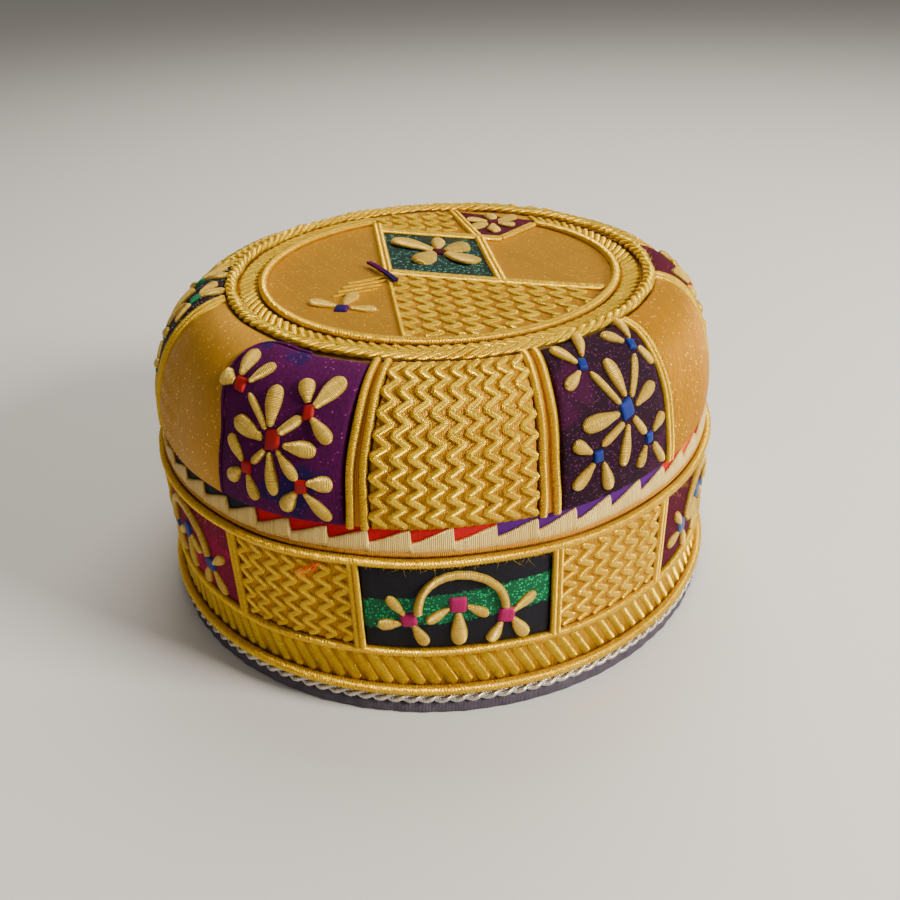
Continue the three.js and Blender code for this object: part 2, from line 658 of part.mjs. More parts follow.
function topLattice() {
  // Everything on the field lies just above the dished wall, on one level that its rim sets.
  const floor = topHeight(FIELD_RADIUS) + GAP;
  const edgePoints = crownColumns.map((angle) => {
    const { x, y } = around(angle, FIELD_RADIUS, 0);
    return new THREE.Vector2(x, y);
  });
  const round = toManifold(
    new THREE.ExtrudeGeometry(new THREE.Shape(edgePoints), {
      depth: LATTICE_RISE + PETAL_RISE,
      bevelEnabled: false,
    }).translate(0, 0, floor),
  );
  const wide = CELL_WIDTH / 2;
  const deep = CELL_DEPTH / 2;
  const bar = LATTICE_BAR / 2;
  const reach = TOP_RADIUS * 2;
  const bars = [-1, 1].flatMap((side) => [
    latticePlate([side * wide - bar, side * wide + bar], [-reach, reach], floor, floor + LATTICE_RISE),
    latticePlate([-reach, reach], [side * deep - bar, side * deep + bar], floor, floor + LATTICE_RISE),
  ]);
  const frame = bars.reduce((sum, solid) => sum.add(solid)).intersect(round);
  const pieces = [piece("top_lattice", "gold_cord", fromManifold(frame))];
  const edge = bar + GAP;
  const spans = (half) => [
    [-reach, -half - edge],
    [-half + edge, half - edge],
    [half + edge, reach],
  ];
  spans(wide).forEach((u, column) =>
    spans(deep).forEach((v, row) => {
      const corner = column !== 1 && row !== 1;
      const middle = column === 1 && row === 1;
      const kind = corner ? "corner" : middle ? "flower" : row === 1 ? "satin" : "zigzag";
      const slot = {
        corner: "purple_velvet",
        flower: "green_velvet",
        satin: "gold_satin",
        zigzag: "gold_zigzag",
      };
      let plate = latticePlate(u, v, floor, floor + TOP_PANEL).intersect(round);
      if (middle) {
        const place = (x, y, lift) => {
          const p = latticePoint(x * (wide - edge), y * (deep - edge));
          return new THREE.Vector3(p.x, p.y, lift);
        };
        for (const petal of topFlowerRows)
          plate = plate.add(
            toManifold(petalSolid(petal, place, wide - edge, deep - edge, floor + TOP_PANEL, TOP_PANEL)),
          );
      }
      const name = ["top", kind, ROW_NAMES[row], COLUMN_NAMES[column]].filter(Boolean).join("_");
      pieces.push(piece(name, slot[kind], fromManifold(plate)));
    }),
  );
  return pieces;
}

function topPieces() {
  const angles = crownColumns;
  const shoulder = { r: SEAM_RADIUS, z: CROWN_TOP + GAP + SHOULDER_CORD };
  const field = { r: FIELD_RING, z: topHeight(FIELD_RING) + GAP + FIELD_CORD };
  const braid = topSheet("top_braid", "gold_zigzag", [BRAID_OUTER, BRAID_INNER], GAP, GAP + BRAID_THICK, angles);
  return [
    topDisc(),
    piece("shoulder_braid", "gold_cord", ringSolid(cordSection(shoulder, SHOULDER_CORD), angles)),
    braid,
    piece("field_cord", "gold_cord", ringSolid(cordSection(field, FIELD_CORD), angles)),
    ...topLattice(),
  ];
}

const cap = new THREE.Group();
cap.name = "folk_cap";
cap.add(...rimPieces(), ...bandPieces(), toothBorder(), ...crownPieces(), ...topPieces());

export default cap;
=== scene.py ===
"""A stiff round folk cap in gold embroidery, dressed over its solid frame.

Every surface is worked out with numpy in millimetres: a place on the cap is a function of an angle
round it, 0 at the front and growing to the right, and a height or a length of cloth. Meshes are put
into Blender in metres.
"""
import itertools
import bpy
import bmesh
import numpy as np
from mathutils import Matrix, Vector


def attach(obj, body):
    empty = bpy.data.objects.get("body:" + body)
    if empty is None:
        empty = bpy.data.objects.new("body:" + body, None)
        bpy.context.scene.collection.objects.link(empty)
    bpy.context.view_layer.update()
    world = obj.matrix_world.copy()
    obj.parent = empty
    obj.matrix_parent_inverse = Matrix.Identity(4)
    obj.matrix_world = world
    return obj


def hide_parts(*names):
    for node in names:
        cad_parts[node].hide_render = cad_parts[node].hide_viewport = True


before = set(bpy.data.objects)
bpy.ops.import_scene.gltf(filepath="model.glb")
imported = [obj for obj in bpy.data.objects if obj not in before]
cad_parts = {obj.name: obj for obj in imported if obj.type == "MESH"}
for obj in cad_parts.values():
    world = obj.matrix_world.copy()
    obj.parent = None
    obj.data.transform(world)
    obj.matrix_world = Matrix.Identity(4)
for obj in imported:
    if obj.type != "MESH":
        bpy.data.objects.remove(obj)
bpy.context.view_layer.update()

MM = 0.001
TURN = 2 * np.pi
rng = np.random.default_rng(7)

# Sizes that the cloth shares with its frame, in millimetres. Only the lattice of the round top is
# laid a little further back, in a slightly deeper cell, than the frame has it.
RIM_RADIUS = 90.0
BAND_HEIGHT = 54.5
FOOT_FLARE = 2.4
FLARE_HEIGHT = 20.0
CROWN_RADIUS = 88.6
CROWN_RISE = 44.2
CROWN_SWELL = 1.4
CROWN_OFFSET = 3.0
TOP_RADIUS = 66.0
SHOULDER_REACH = 20.5
SHOULDER_DROP = 2.0
TOP_DISH = 1.0
GAP = 0.3
CROWN_FOOT = BAND_HEIGHT + GAP
CROWN_TOP = CROWN_FOOT + CROWN_RISE
CROWN_PUFF = 1.2
BAND_PUFF = 0.5
PANEL_THICK = 1.1
PETAL_RISE = 1.5

# Slow waves in the rows of stitching, each with its size, waves in a turn and start, and the height
# over which they fade out towards the rim and the top
HAND_WAVES = ((0.45, 2, 0.6), (0.3, 5, 2.0), (0.15, 13, 0.0))
HAND_FADE = 20.0

# The crown's meridian: how far up its side is upright, how far above the seam its panels begin and at
# which share of its curve they end
CROWN_UPRIGHT = 0.3
CROWN_PANEL_RISE = 7.2
CROWN_PANEL_END = 0.975

# Panels: a pair is one plain or zigzag panel and one flower panel
PANELS = 12
PAIR = np.radians(60)
CROWN_PLAIN_HALF = np.radians(16.25)
BAND_FLOWER_HALF = np.radians(17.5)
CROWN_CORD_SPREAD = 1.75  # each cord of a pair lies this far from the seam between two crown panels
CROWN_CORD = 1.25
BAND_UPRIGHT = 1.15

# Rim, hem and borders
BINDING_THICK = 1.2
BINDING_RISE = 4.0
BINDING_TUCK = 12.0
BAND_WALL = 2.4
RIM_TWIST = 1.2
HEM_CORD = 1.6
WAIST_CORD = 1.4
TWIST_HEIGHT = BINDING_RISE + GAP + RIM_TWIST
HEM_HEIGHT = BINDING_RISE + 2 * GAP + 2 * RIM_TWIST + HEM_CORD
WAIST_HEIGHT = FLARE_HEIGHT + WAIST_CORD
COLLAR_HEIGHT = BAND_HEIGHT - WAIST_CORD - GAP
PANEL_FOOT = WAIST_HEIGHT + WAIST_CORD + GAP
PANEL_HEAD = COLLAR_HEIGHT - WAIST_CORD - GAP
SLANT_BARS = 124
TEETH = 50
TOOTH_LOW = 3.0
TOOTH_HIGH = 6.8

# Round top
SHOULDER_CORD = 1.6
SHOULDER_RING = TOP_RADIUS - GAP
FIELD_CORD = 1.3
FIELD_RING = 56.0
FIELD_RADIUS = FIELD_RING - FIELD_CORD - GAP
CELL_WIDTH = 38.0
CELL_DEPTH = 43.0
LATTICE_TURN = np.radians(-9)
LATTICE_SKEW = np.radians(12.5)
LATTICE_OFFSET = 16.0


# Surfaces of the cap

def smooth(x):
    """Three x squared less two x cubed, from 0 to 1."""
    x = np.clip(x, 0, 1)
    return x * x * (3 - 2 * x)


def hump(share):
    """One less the fourth power of a share from -1 to 1: flat in the middle, steep at the edges."""
    return np.clip(1 - np.abs(share) ** 4, 0, 1)


def across_panels(angle, half):
    """Share from -1 to 1 across whichever panel an angle falls in, where the panels at whole pairs
    have the half width `half` and those between them the rest."""
    off = (angle + PAIR / 2) % PAIR - PAIR / 2
    rest = PAIR / 2 - half
    return np.where(np.abs(off) < half, off / half, (np.abs(off) - PAIR / 2) / rest)


def handmade(angle, height):
    """How far the rows of stitching wander up and down: three slow waves round the cap, which die out
    at the rim and at the top."""
    wave = sum(size * np.sin(count * angle + start) for size, count, start in HAND_WAVES)
    return wave * smooth(height / HAND_FADE) * smooth((CROWN_TOP - height) / HAND_FADE)


def band_at(angle, height, lift=0.0):
    """Radius of the rim plus an S-shaped flare below FLARE_HEIGHT, the padding of the panel there and
    the lift, at an angle and a height."""
    angle, height, lift = np.broadcast_arrays(angle, height, lift)
    radius = RIM_RADIUS + FOOT_FLARE * smooth(1 - height / FLARE_HEIGHT) + lift
    up = (height - PANEL_FOOT) / (BAND_HEIGHT - PANEL_FOOT) * 2 - 1
    inside = (height > PANEL_FOOT) & (height < BAND_HEIGHT)
    padding = BAND_PUFF * hump(across_panels(angle, BAND_FLOWER_HALF)) * hump(up)
    radius = radius + np.where(inside, padding, 0)
    height = height + handmade(angle, height)
    return np.stack([radius * np.sin(angle), -radius * np.cos(angle), height], -1)


def bezier(points, t):
    """Cubic Bezier curve through four points at the shares t."""
    a, b, c, d = (np.array(p, float) for p in points)
    t = t[:, None]
    return (1 - t) ** 3 * a + 3 * (1 - t) ** 2 * t * b + 3 * (1 - t) * t * t * c + t ** 3 * d


meridian_share = np.linspace(0, 1, 1501)
meridian = bezier([
    (CROWN_RADIUS, CROWN_FOOT),
    (CROWN_RADIUS + CROWN_SWELL, CROWN_FOOT + CROWN_RISE * CROWN_UPRIGHT),
    (TOP_RADIUS + SHOULDER_REACH, CROWN_TOP - SHOULDER_DROP),
    (TOP_RADIUS, CROWN_TOP),
], meridian_share)
meridian_step = np.gradient(meridian, axis=0)
meridian_step /= np.linalg.norm(meridian_step, axis=1)[:, None]
meridian_arc = np.concatenate([[0], np.cumsum(np.linalg.norm(np.diff(meridian, axis=0), axis=1))])
CROWN_ARC = meridian_arc[-1]
CROWN_PANEL_FOOT = np.interp(CROWN_FOOT + CROWN_PANEL_RISE, meridian[:, 1], meridian_arc)
CROWN_PANEL_HEAD = np.interp(CROWN_PANEL_END, meridian_share, meridian_arc)
CROWN_PANEL_MIDDLE = (CROWN_PANEL_FOOT + CROWN_PANEL_HEAD) / 2


def settled(height):
    """How far the soft crown has moved to the right at a height: the cube of the share of its rise."""
    return CROWN_OFFSET * (np.maximum(0, height - BAND_HEIGHT) / CROWN_RISE) ** 3


def crown_at(angle, arc, lift=0.0):
    """Point on the crown's meridian at an arc length from its foot, moved out along the normal by the
    padding of the panel there and the lift, turned to the angle and moved to the right."""
    angle, arc, lift = np.broadcast_arrays(angle, arc, lift)
    radius = np.interp(arc, meridian_arc, meridian[:, 0])
    height = np.interp(arc, meridian_arc, meridian[:, 1])
    out = np.interp(arc, meridian_arc, meridian_step[:, 1])
    rise = -np.interp(arc, meridian_arc, meridian_step[:, 0])
    up = np.clip((arc - CROWN_PANEL_FOOT) / (CROWN_ARC - CROWN_PANEL_FOOT), 0, 1) * 2 - 1
    lift = lift + CROWN_PUFF * hump(across_panels(angle, CROWN_PLAIN_HALF)) * hump(up)
    radius = radius + out * lift
    height = height + rise * lift
    height = height + handmade(angle, height)
    return np.stack([radius * np.sin(angle) + settled(height), -radius * np.cos(angle), height], -1)


def top_at(x, y, lift):
    """Point on the round top, x to the right and y away from its centre: a shallow dish."""
    x, y, lift = np.broadcast_arrays(x, y, lift)
    share = np.clip((x * x + y * y) / TOP_RADIUS ** 2, 0, 1)
    height = CROWN_TOP - TOP_DISH * (1 - share) + lift
    return np.stack([x + settled(height), y, height], -1)


def top_ring_at(angle, radius, lift):
    """Point on the round top by angle and radius."""
    return top_at(radius * np.sin(angle), -radius * np.cos(angle), lift)


# Meshes

SAME_PLACE = 2e-6  # metres: points nearer than this are one point
NO_LENGTH = 1e-7  # metres: an edge shorter than this is none
FIBRE_UV = (0.4, 0.1)  # UV step in millimetres along and round a small tube
SIDE_OFFSET = 0.5  # how far out a second point lies that gives a surface its normal

class Piece:
    """Gathers grids of points into one mesh with one UV map in millimetres and a shade per point."""

    def __init__(self, name):
        self.name = name
        self.points, self.faces, self.uvs, self.finishes, self.shades = [], [], [], [], []
        self.names = []
        self.count = 0

    def gather(self, points, faces, loops, finish, shade):
        """Keep points (..., 3), faces (k, 4), the UV of each face corner and a shade for each point."""
        if finish not in self.names:
            self.names.append(finish)
        self.points.append(points.reshape(-1, 3))
        self.faces.append(faces + self.count)
        self.uvs.append(loops.reshape(-1, 2))
        self.finishes.append(np.full(len(faces), self.names.index(finish)))
        self.shades.append(np.broadcast_to(np.asarray(shade, float), points.shape[:-1]).reshape(-1))
        self.count += points.size // 3

    def add(self, grid, finish, uv=None, ring_u=False, ring_v=False, shade=0.5, keep=None):
        """Put in a grid (n, m, 3) in millimetres. A ring closes on itself in that direction. `uv` is
        a grid one larger in each closed direction, and `keep` is a mask of faces."""
        n, m = grid.shape[:2]
        nu, nv = n - (not ring_u), m - (not ring_v)
        i, j = np.meshgrid(np.arange(nu), np.arange(nv), indexing="ij")
        corners = [(i, j), (i + 1, j), (i + 1, j + 1), (i, j + 1)]
        faces = np.stack([(a % n) * m + b % m for a, b in corners], -1)
        if uv is None:
            step_u = np.linalg.norm(np.roll(grid, -1, 0) - grid, axis=-1).mean(1)
            step_v = np.linalg.norm(np.roll(grid, -1, 1) - grid, axis=-1).mean(0)
            u = np.concatenate([[0], np.cumsum(step_u)])[:nu + 1]
            v = np.concatenate([[0], np.cumsum(step_v)])[:nv + 1]
            uv = np.stack(np.meshgrid(u, v, indexing="ij"), -1)
        loops = np.stack([uv[a, b] for a, b in corners], -2)
        if keep is not None:
            faces, loops = faces[keep], loops[keep]
        self.gather(grid, faces.reshape(-1, 4), loops, finish, shade)

    def add_many(self, grids, finish, shade):
        """Put in many small tubes at once: an array (k, n, m, 3) whose m points close on themselves."""
        k, n, m = grids.shape[:3]
        h, i, j = np.meshgrid(np.arange(k), np.arange(n - 1), np.arange(m), indexing="ij")
        at = lambda a, b: h * n * m + a * m + b % m
        faces = np.stack([at(i, j), at(i + 1, j), at(i + 1, j + 1), at(i, j + 1)], -1).reshape(-1, 4)
        loops = np.stack([i * FIBRE_UV[0], j * FIBRE_UV[1]], -1)[..., None, :] + np.zeros((4, 2))
        self.gather(grids, faces, loops, finish, shade)

    def make(self, node):
        """Make the mesh object, close its seams, and let it stand for the node that it replaces."""
        mesh = bpy.data.meshes.new(self.name)
        points = np.concatenate(self.points) * MM
        faces = np.concatenate(self.faces)
        mesh.from_pydata(points.tolist(), [], faces.tolist())
        layer = mesh.uv_layers.new(name="UVMap")
        layer.data.foreach_set("uv", np.concatenate(self.uvs).ravel())
        mesh.polygons.foreach_set("material_index", np.concatenate(self.finishes).astype(np.int32))
        mesh.polygons.foreach_set("use_smooth", np.full(len(faces), True))
        shade = mesh.attributes.new("shade", "FLOAT", "POINT")
        shade.data.foreach_set("value", np.concatenate(self.shades).astype(np.float32))
        for name in self.names:
            mesh.materials.append(FINISHES[name])
        work = bmesh.new()
        work.from_mesh(mesh)
        bmesh.ops.remove_doubles(work, verts=work.verts, dist=SAME_PLACE)
        bmesh.ops.dissolve_degenerate(work, edges=work.edges, dist=NO_LENGTH)
        loose = [v for v in work.verts if not v.link_faces]
        bmesh.ops.delete(work, geom=loose, context="VERTS")
        work.to_mesh(mesh)
        work.free()
        mesh.update()
        piece = bpy.data.objects.new(self.name, mesh)
        bpy.context.scene.collection.objects.link(piece)
        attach(piece, "root")
        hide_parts(node)


def frame_along(path, normal, closed):
    """Unit side vectors of a path, from its direction and the surface normals beside it."""
    if closed:
        along = np.roll(path, -1, 0) - np.roll(path, 1, 0)
    else:
        along = np.gradient(path, axis=0)
    side = np.cross(along, normal)
    return side / np.maximum(np.linalg.norm(side, axis=1), 1e-9)[:, None]


def roll(path, normal, half_width, rise, sides=8, closed=False, sink=0.5, ridge=0.0, pitch=1.0, slant=0.6):
    """A tube round a path: across it the cosine of the way round times the half width, and along the
    surface normal the sine times the rise, or times a share `sink` of it below. Ridges of thread
    swell it by a cosine of the length over the pitch, slanted round the tube."""
    n = len(path)
    side = frame_along(path, normal, closed)
    normal = normal / np.linalg.norm(normal, axis=1)[:, None]
    turn = np.arange(sides) / sides * TURN
    step = np.linalg.norm(np.roll(path, -1, 0) - path, axis=1)
    length = np.concatenate([[0], np.cumsum(step)])
    total = length[n if closed else n - 1]
    if closed and ridge:
        pitch = total / max(1, round(total / pitch))
    swell = 1 + ridge * np.cos(TURN * length[:n, None] / pitch + slant * turn[None, :] * 2)
    half_width = np.broadcast_to(np.asarray(half_width, float), (n,))[:, None]
    rise = np.broadcast_to(np.asarray(rise, float), (n,))[:, None]
    sine = np.sin(turn)[None, :]
    out = (np.where(sine > 0, sine, sine * sink) * rise * swell)[..., None] * normal[:, None, :]
    wide = (np.cos(turn)[None, :] * half_width * swell)[..., None] * side[:, None, :]
    grid = path[:, None, :] + wide + out
    rows = n + 1 if closed else n
    around = np.arange(sides + 1) / sides * TURN * max(float(half_width.mean()), 0.1)
    uv = np.stack(np.meshgrid(length[:rows], around, indexing="ij"), -1)
    return grid, uv


def round_ends(count, share=0.06):
    """Widths along a cord with rounded ends: a quarter circle over the first and last share."""
    t = np.linspace(0, 1, count)
    near = np.clip(np.minimum(t, 1 - t) / share, 0, 1)
    return np.sqrt(np.clip(1 - (1 - near) ** 2, 0, 1))


def lay(place, xs, ys, lift):
    """A path on a surface and the surface normals beside it."""
    path = place(xs, ys, lift)
    normal = place(xs, ys, np.asarray(lift) + SIDE_OFFSET) - path
    return path, normal


# How thread is wound on a cord: the ridges' height as a share of its radius and their spacing
STOUT = dict(sides=10, ridge=0.07, pitch=0.95)  # round the cap
PAIRED = dict(ridge=0.06, pitch=0.9, flat=1.1)  # side by side between panels
FLAT_STITCH = dict(sides=8, ridge=0.0, flat=0.85)  # couched zigzags


def put_cord(piece, finish, place, xs, ys, radius, lift, closed=False, sides=8, ridge=0.08, pitch=0.9,
             slant=0.6, ends=0.03, flat=1.0, shade=0.5):
    """Lay a thread-wrapped cord on a surface along the given places: a tube whose ends are rounded
    over the share `ends`, as high as its radius times `flat`."""
    path, normal = lay(place, xs, ys, lift)
    width = np.full(len(xs), radius, float)
    if not closed:
        width = width * round_ends(len(xs), ends)
    grid, uv = roll(path, normal, width, width * flat, sides, closed, sink=0.8, ridge=ridge, pitch=pitch,
                    slant=slant)
    piece.add(grid, finish, uv, ring_u=closed, ring_v=True, shade=shade)


BAR_STEPS = 9
BAR_RISE = 0.8


def put_bar(piece, finish, place, xs, ys, lift, half_width, width_end, sides, shade):
    """One short padded stitch: a tube along the given places, flat below, with rounded ends."""
    path, normal = lay(place, xs, ys, lift)
    rise = BAR_RISE * round_ends(BAR_STEPS, 0.2)
    grid, uv = roll(path, normal, half_width * round_ends(BAR_STEPS, width_end), rise, sides, sink=0.4)
    piece.add(grid, finish, uv, ring_v=True, shade=shade)


def put_strand(piece, finish, place, angle, line, across, lift, half_width, rise, shade=0.5):
    """One closed strand of a twist or plait: a round tube that swings from its line by `across` while
    its lift rises and falls."""
    path = place(angle, line + across, lift)
    normal = place(angle, line, 1.0) - place(angle, line, 0.0)
    grid, uv = roll(path, normal, half_width, rise, closed=True, sink=1.0)
    piece.add(grid, finish, uv, ring_u=True, ring_v=True, shade=shade)


FIBRE_LENGTH = 1.1
FIBRE_THICK = 0.055
FIBRE_LEAN = 0.7  # how far a fibre leans off the normal, in shares of its length
FIBRE_SHADE = 0.7


def put_fuzz(piece, finish, place, xs, ys, lift, count, length=FIBRE_LENGTH, thick=FIBRE_THICK):
    """Fine stray fibres on a row of stitching: from a root on it each goes out along the normal and
    bends with the square of the way along, as a three-sided tube that thins to its tip."""
    ys = np.broadcast_to(ys, np.shape(xs))
    pick = rng.random(count) * (len(xs) - 1.001)
    x = np.interp(pick, np.arange(len(xs)), xs)
    y = np.interp(pick, np.arange(len(ys)), ys)
    root = place(x, y, np.full(count, lift))
    out = place(x, y, np.full(count, lift + SIDE_OFFSET)) - root
    out /= np.linalg.norm(out, axis=1)[:, None]
    bend = rng.standard_normal((count, 3))
    lean = rng.standard_normal((count, 3)) * FIBRE_LEAN
    reach = length * (0.4 + rng.random(count))[:, None, None]
    t = np.array([0.0, 0.5, 1.0])[None, :, None]
    path = root[:, None] + reach * (t * (out + lean)[:, None] + 0.5 * t * t * bend[:, None])
    side = np.cross(out, bend)
    side /= np.linalg.norm(side, axis=1)[:, None]
    other = np.cross(out, side)
    turn = np.arange(3) / 3 * TURN
    ring = np.cos(turn)[:, None] * side[:, None] + np.sin(turn)[:, None] * other[:, None]
    grids = path[:, :, None] + (1.02 - t)[..., None] * thick * ring[:, None]
    piece.add_many(grids, finish, FIBRE_SHADE)


# Shares of a petal's length: where it is widest, where its tip begins to round, and its rounded foot
PETAL_WIDEST = 0.62
PETAL_TIP = 0.74
PETAL_FOOT = 0.08
PETAL_STEPS = 15
PETAL_SIDES = 12
PETAL_ROOT_RISE = 0.45  # of its full rise, where its width would be none


def put_petal(piece, place, start, end, half_width, rise=PETAL_RISE, lift=0.0, root=0.45):
    """A padded petal from a start to an end: narrow at its root, widest two thirds along and round at
    its tip."""
    start, end = np.array(start, float), np.array(end, float)
    t = 0.5 - 0.5 * np.cos(np.linspace(0, 1, PETAL_STEPS) * np.pi)
    at = start + t[:, None] * (end - start)
    body = root + (1 - root) * smooth(t / PETAL_WIDEST)
    tip = np.sqrt(np.clip(1 - (np.clip(t - PETAL_TIP, 0, 1) / (1 - PETAL_TIP)) ** 2, 0, 1))
    foot = np.sqrt(np.clip(1 - (1 - np.clip(t / PETAL_FOOT, 0, 1)) ** 2, 0, 1))
    width = half_width * body * tip * foot
    path, normal = lay(place, at[:, 0], at[:, 1], lift)
    height = rise * (PETAL_ROOT_RISE + (1 - PETAL_ROOT_RISE) * body) * np.sqrt(tip * foot)
    grid, uv = roll(path, normal, width, height, PETAL_SIDES, sink=0.25)
    piece.add(grid, "cream_petal", uv, ring_v=True, shade=0.35 + 0.5 * rng.random())


PAD_EDGE = 1.2
CROWDING = 0.35  # how much of a pad's grid is crowded to its edges


def crowded(count):
    """Shares from 0 to 1 that lie closer together near both ends: part even, part cosine."""
    even = np.linspace(0, 1, count)
    return (0.5 - 0.5 * np.cos(even * np.pi)) * CROWDING + even * (1 - CROWDING)


def put_pad(piece, finish, place, x_range, y_range, thick=PANEL_THICK, steps=(36, 40), crease=None):
    """A closed pad over a four-sided patch: its upper side rises from the gap over the cloth by its
    thickness within PAD_EDGE of the border, as a quarter circle, and its lower side lies on the gap.
    `crease` is a relief added to the upper side."""
    (x0, x1), (y0, y1) = x_range, y_range
    n, m = steps
    x = x0 + (x1 - x0) * crowded(n)
    y = y0 + (y1 - y0) * crowded(m)
    gx, gy = np.meshgrid(x, y, indexing="ij")
    inset = np.minimum(np.minimum(gx - x0, x1 - gx), np.minimum(gy - y0, y1 - gy))
    round_off = np.sqrt(np.clip(1 - (1 - np.clip(inset / PAD_EDGE, 0, 1)) ** 2, 0, 1))
    upper = GAP + thick * round_off
    if crease is not None:
        upper = upper + crease(gx, gy) * round_off
    top = place(gx, gy, upper)
    under = place(gx[:, ::-1], gy[:, ::-1], GAP)
    under[[0, -1]] = top[[0, -1], ::-1]
    grid = np.concatenate([top, under], 1)
    uv_y = np.concatenate([y, y[::-1], y[:1]])
    uv = np.stack(np.meshgrid(x, uv_y, indexing="ij"), -1)
    piece.add(grid, finish, uv, ring_v=True)


ZIGZAG_ROUND = 0.965  # how sharp a zigzag's corners are: at 1 they come to a point


def zigzag(y, period, half_swing):
    """A triangle wave with its corners rounded: the arc sine of a sine just under one."""
    return half_swing * np.arcsin(ZIGZAG_ROUND * np.sin(TURN * y / period)) / np.arcsin(ZIGZAG_ROUND)


# Finishes

def socket_group(name, inputs, outputs):
    """A shader node group with the named inputs and outputs, and its two end nodes."""
    group = bpy.data.node_groups.new(name, "ShaderNodeTree")
    for label, kind, value in inputs:
        socket = group.interface.new_socket(label, in_out="INPUT", socket_type=kind)
        if value is not None:
            socket.default_value = value
    for label, kind in outputs:
        group.interface.new_socket(label, in_out="OUTPUT", socket_type=kind)
    return group, group.nodes.new("NodeGroupInput"), group.nodes.new("NodeGroupOutput")


FLOAT, VECTOR = "NodeSocketFloat", "NodeSocketVector"


def wire(tree, node_type, inputs=(), **settings):
    """Add a node, set its properties, and set or link its inputs by index or name."""
    node = tree.nodes.new(node_type)
    for key, value in settings.items():
        setattr(node, key, value)
    for key, value in dict(inputs).items():
        if isinstance(value, bpy.types.NodeSocket):
            tree.links.new(value, node.inputs[key])
        else:
            node.inputs[key].default_value = value
    return node


def math_node(tree, operation, *values, clamp=False):
    """Result socket of a Math node."""
    node = wire(tree, "ShaderNodeMath", dict(enumerate(values)), operation=operation, use_clamp=clamp)
    return node.outputs[0]


def mix_colour(tree, factor, a, b):
    """Result socket of a colour mix."""
    return wire(tree, "ShaderNodeMix", {0: factor, 6: a, 7: b}, data_type="RGBA").outputs[2]


def thread_group():
    """Parallel threads: the height is the absolute sine of the way across them, over the pitch, on a
    UV in millimetres that noise bends a little, and each thread has its own tone."""
    group, start, end = socket_group(
        "Thread lay",
        [("UV", VECTOR, None), ("Pitch", FLOAT, 0.4), ("Lean", FLOAT, 0.0), ("Waver", FLOAT, 0.15)],
        [("Height", FLOAT), ("Tone", FLOAT)],
    )
    uv = start.outputs["UV"]
    noise = wire(group, "ShaderNodeTexNoise", {"Vector": uv, "Scale": 0.7, "Detail": 3.0}).outputs["Fac"]
    split = wire(group, "ShaderNodeSeparateXYZ", {0: uv})
    leaned = math_node(group, "MULTIPLY_ADD", split.outputs["Y"], start.outputs["Lean"], split.outputs["X"])
    bent = math_node(group, "MULTIPLY_ADD", noise, start.outputs["Waver"], leaned)
    count = math_node(group, "DIVIDE", bent, start.outputs["Pitch"])
    sine = math_node(group, "SINE", math_node(group, "MULTIPLY", count, np.pi))
    height = math_node(group, "ABSOLUTE", sine)
    index = math_node(group, "FLOOR", count)
    tone = wire(group, "ShaderNodeTexWhiteNoise", {"W": index}, noise_dimensions="1D").outputs["Value"]
    group.links.new(height, end.inputs["Height"])
    group.links.new(tone, end.inputs["Tone"])
    return group


SPECK_SIZE = 0.42  # share of a cell


def speck_and_glint_group():
    """Scattered bright specks: cells whose random tone passes a threshold, near their middle. On the gold
    and the petals they are painted glints; on the velvets they are coloured specks of thread.
    """
    group, start, end = socket_group(
        "Specks",
        [("Vector", VECTOR, None), ("Scale", FLOAT, 1500.0), ("Share", FLOAT, 0.1)],
        [("Mask", FLOAT), ("Tone", FLOAT)],
    )
    cells = wire(group, "ShaderNodeTexVoronoi", {
        "Vector": start.outputs["Vector"], "Scale": start.outputs["Scale"]})
    tone = wire(group, "ShaderNodeSeparateColor", {0: cells.outputs["Color"]})
    chosen = math_node(group, "LESS_THAN", tone.outputs[0], start.outputs["Share"])
    near = math_node(group, "LESS_THAN", cells.outputs["Distance"], SPECK_SIZE)
    group.links.new(math_node(group, "MULTIPLY", chosen, near), end.inputs["Mask"])
    group.links.new(tone.outputs[1], end.inputs["Tone"])
    return group


def drift_group():
    """Slow change of tone over the cloth: two sizes of noise, soil in the large one."""
    group, start, end = socket_group(
        "Tone drift", [("Vector", VECTOR, None), ("Scale", FLOAT, 60.0)], [("Slow", FLOAT), ("Fine", FLOAT)]
    )
    place, scale = start.outputs["Vector"], start.outputs["Scale"]
    finer = math_node(group, "MULTIPLY", scale, 18.0)
    slow = wire(group, "ShaderNodeTexNoise", {"Vector": place, "Scale": scale, "Detail": 4.0})
    fine = wire(group, "ShaderNodeTexNoise", {"Vector": place, "Scale": finer, "Detail": 2.0})
    group.links.new(slow.outputs["Fac"], end.inputs["Slow"])
    group.links.new(fine.outputs["Fac"], end.inputs["Fine"])
    return group


THREADS, SPECKS, DRIFT = thread_group(), speck_and_glint_group(), drift_group()
BUMP_DEPTH = 0.00025  # metres
WAVER = 0.2  # how far noise bends the threads

# What moves a finish from its deep to its light colour, and the level from which it starts. The crest
# term is painted light on the crests of the threads and painted shade in the grooves between them
PAINTED_CREST_WEIGHT = 0.45
SLOW_WEIGHT = 0.5
SHADE_WEIGHT = 0.5
LEVEL = 0.38

# How sharply a patch begins, how much the small drift bends the edge of a stripe, how much of the
# ground inside it is coloured, and how dark that colour is beside its specks
PATCH_SHARPNESS = 14.0
STRIPE_WAVE = 3.0
STRIPE_COVER = 0.75
STRIPE_DARKNESS = 0.22
FINISHES = {}


def grouped(tree, group, **inputs):
    """Place a node group with its values or links."""
    node = tree.nodes.new("ShaderNodeGroup")
    node.node_tree = group
    for key, value in inputs.items():
        if isinstance(value, bpy.types.NodeSocket):
            tree.links.new(value, node.inputs[key])
        else:
            node.inputs[key].default_value = value
    return node


def rgba(colour):
    return (*colour, 1.0)


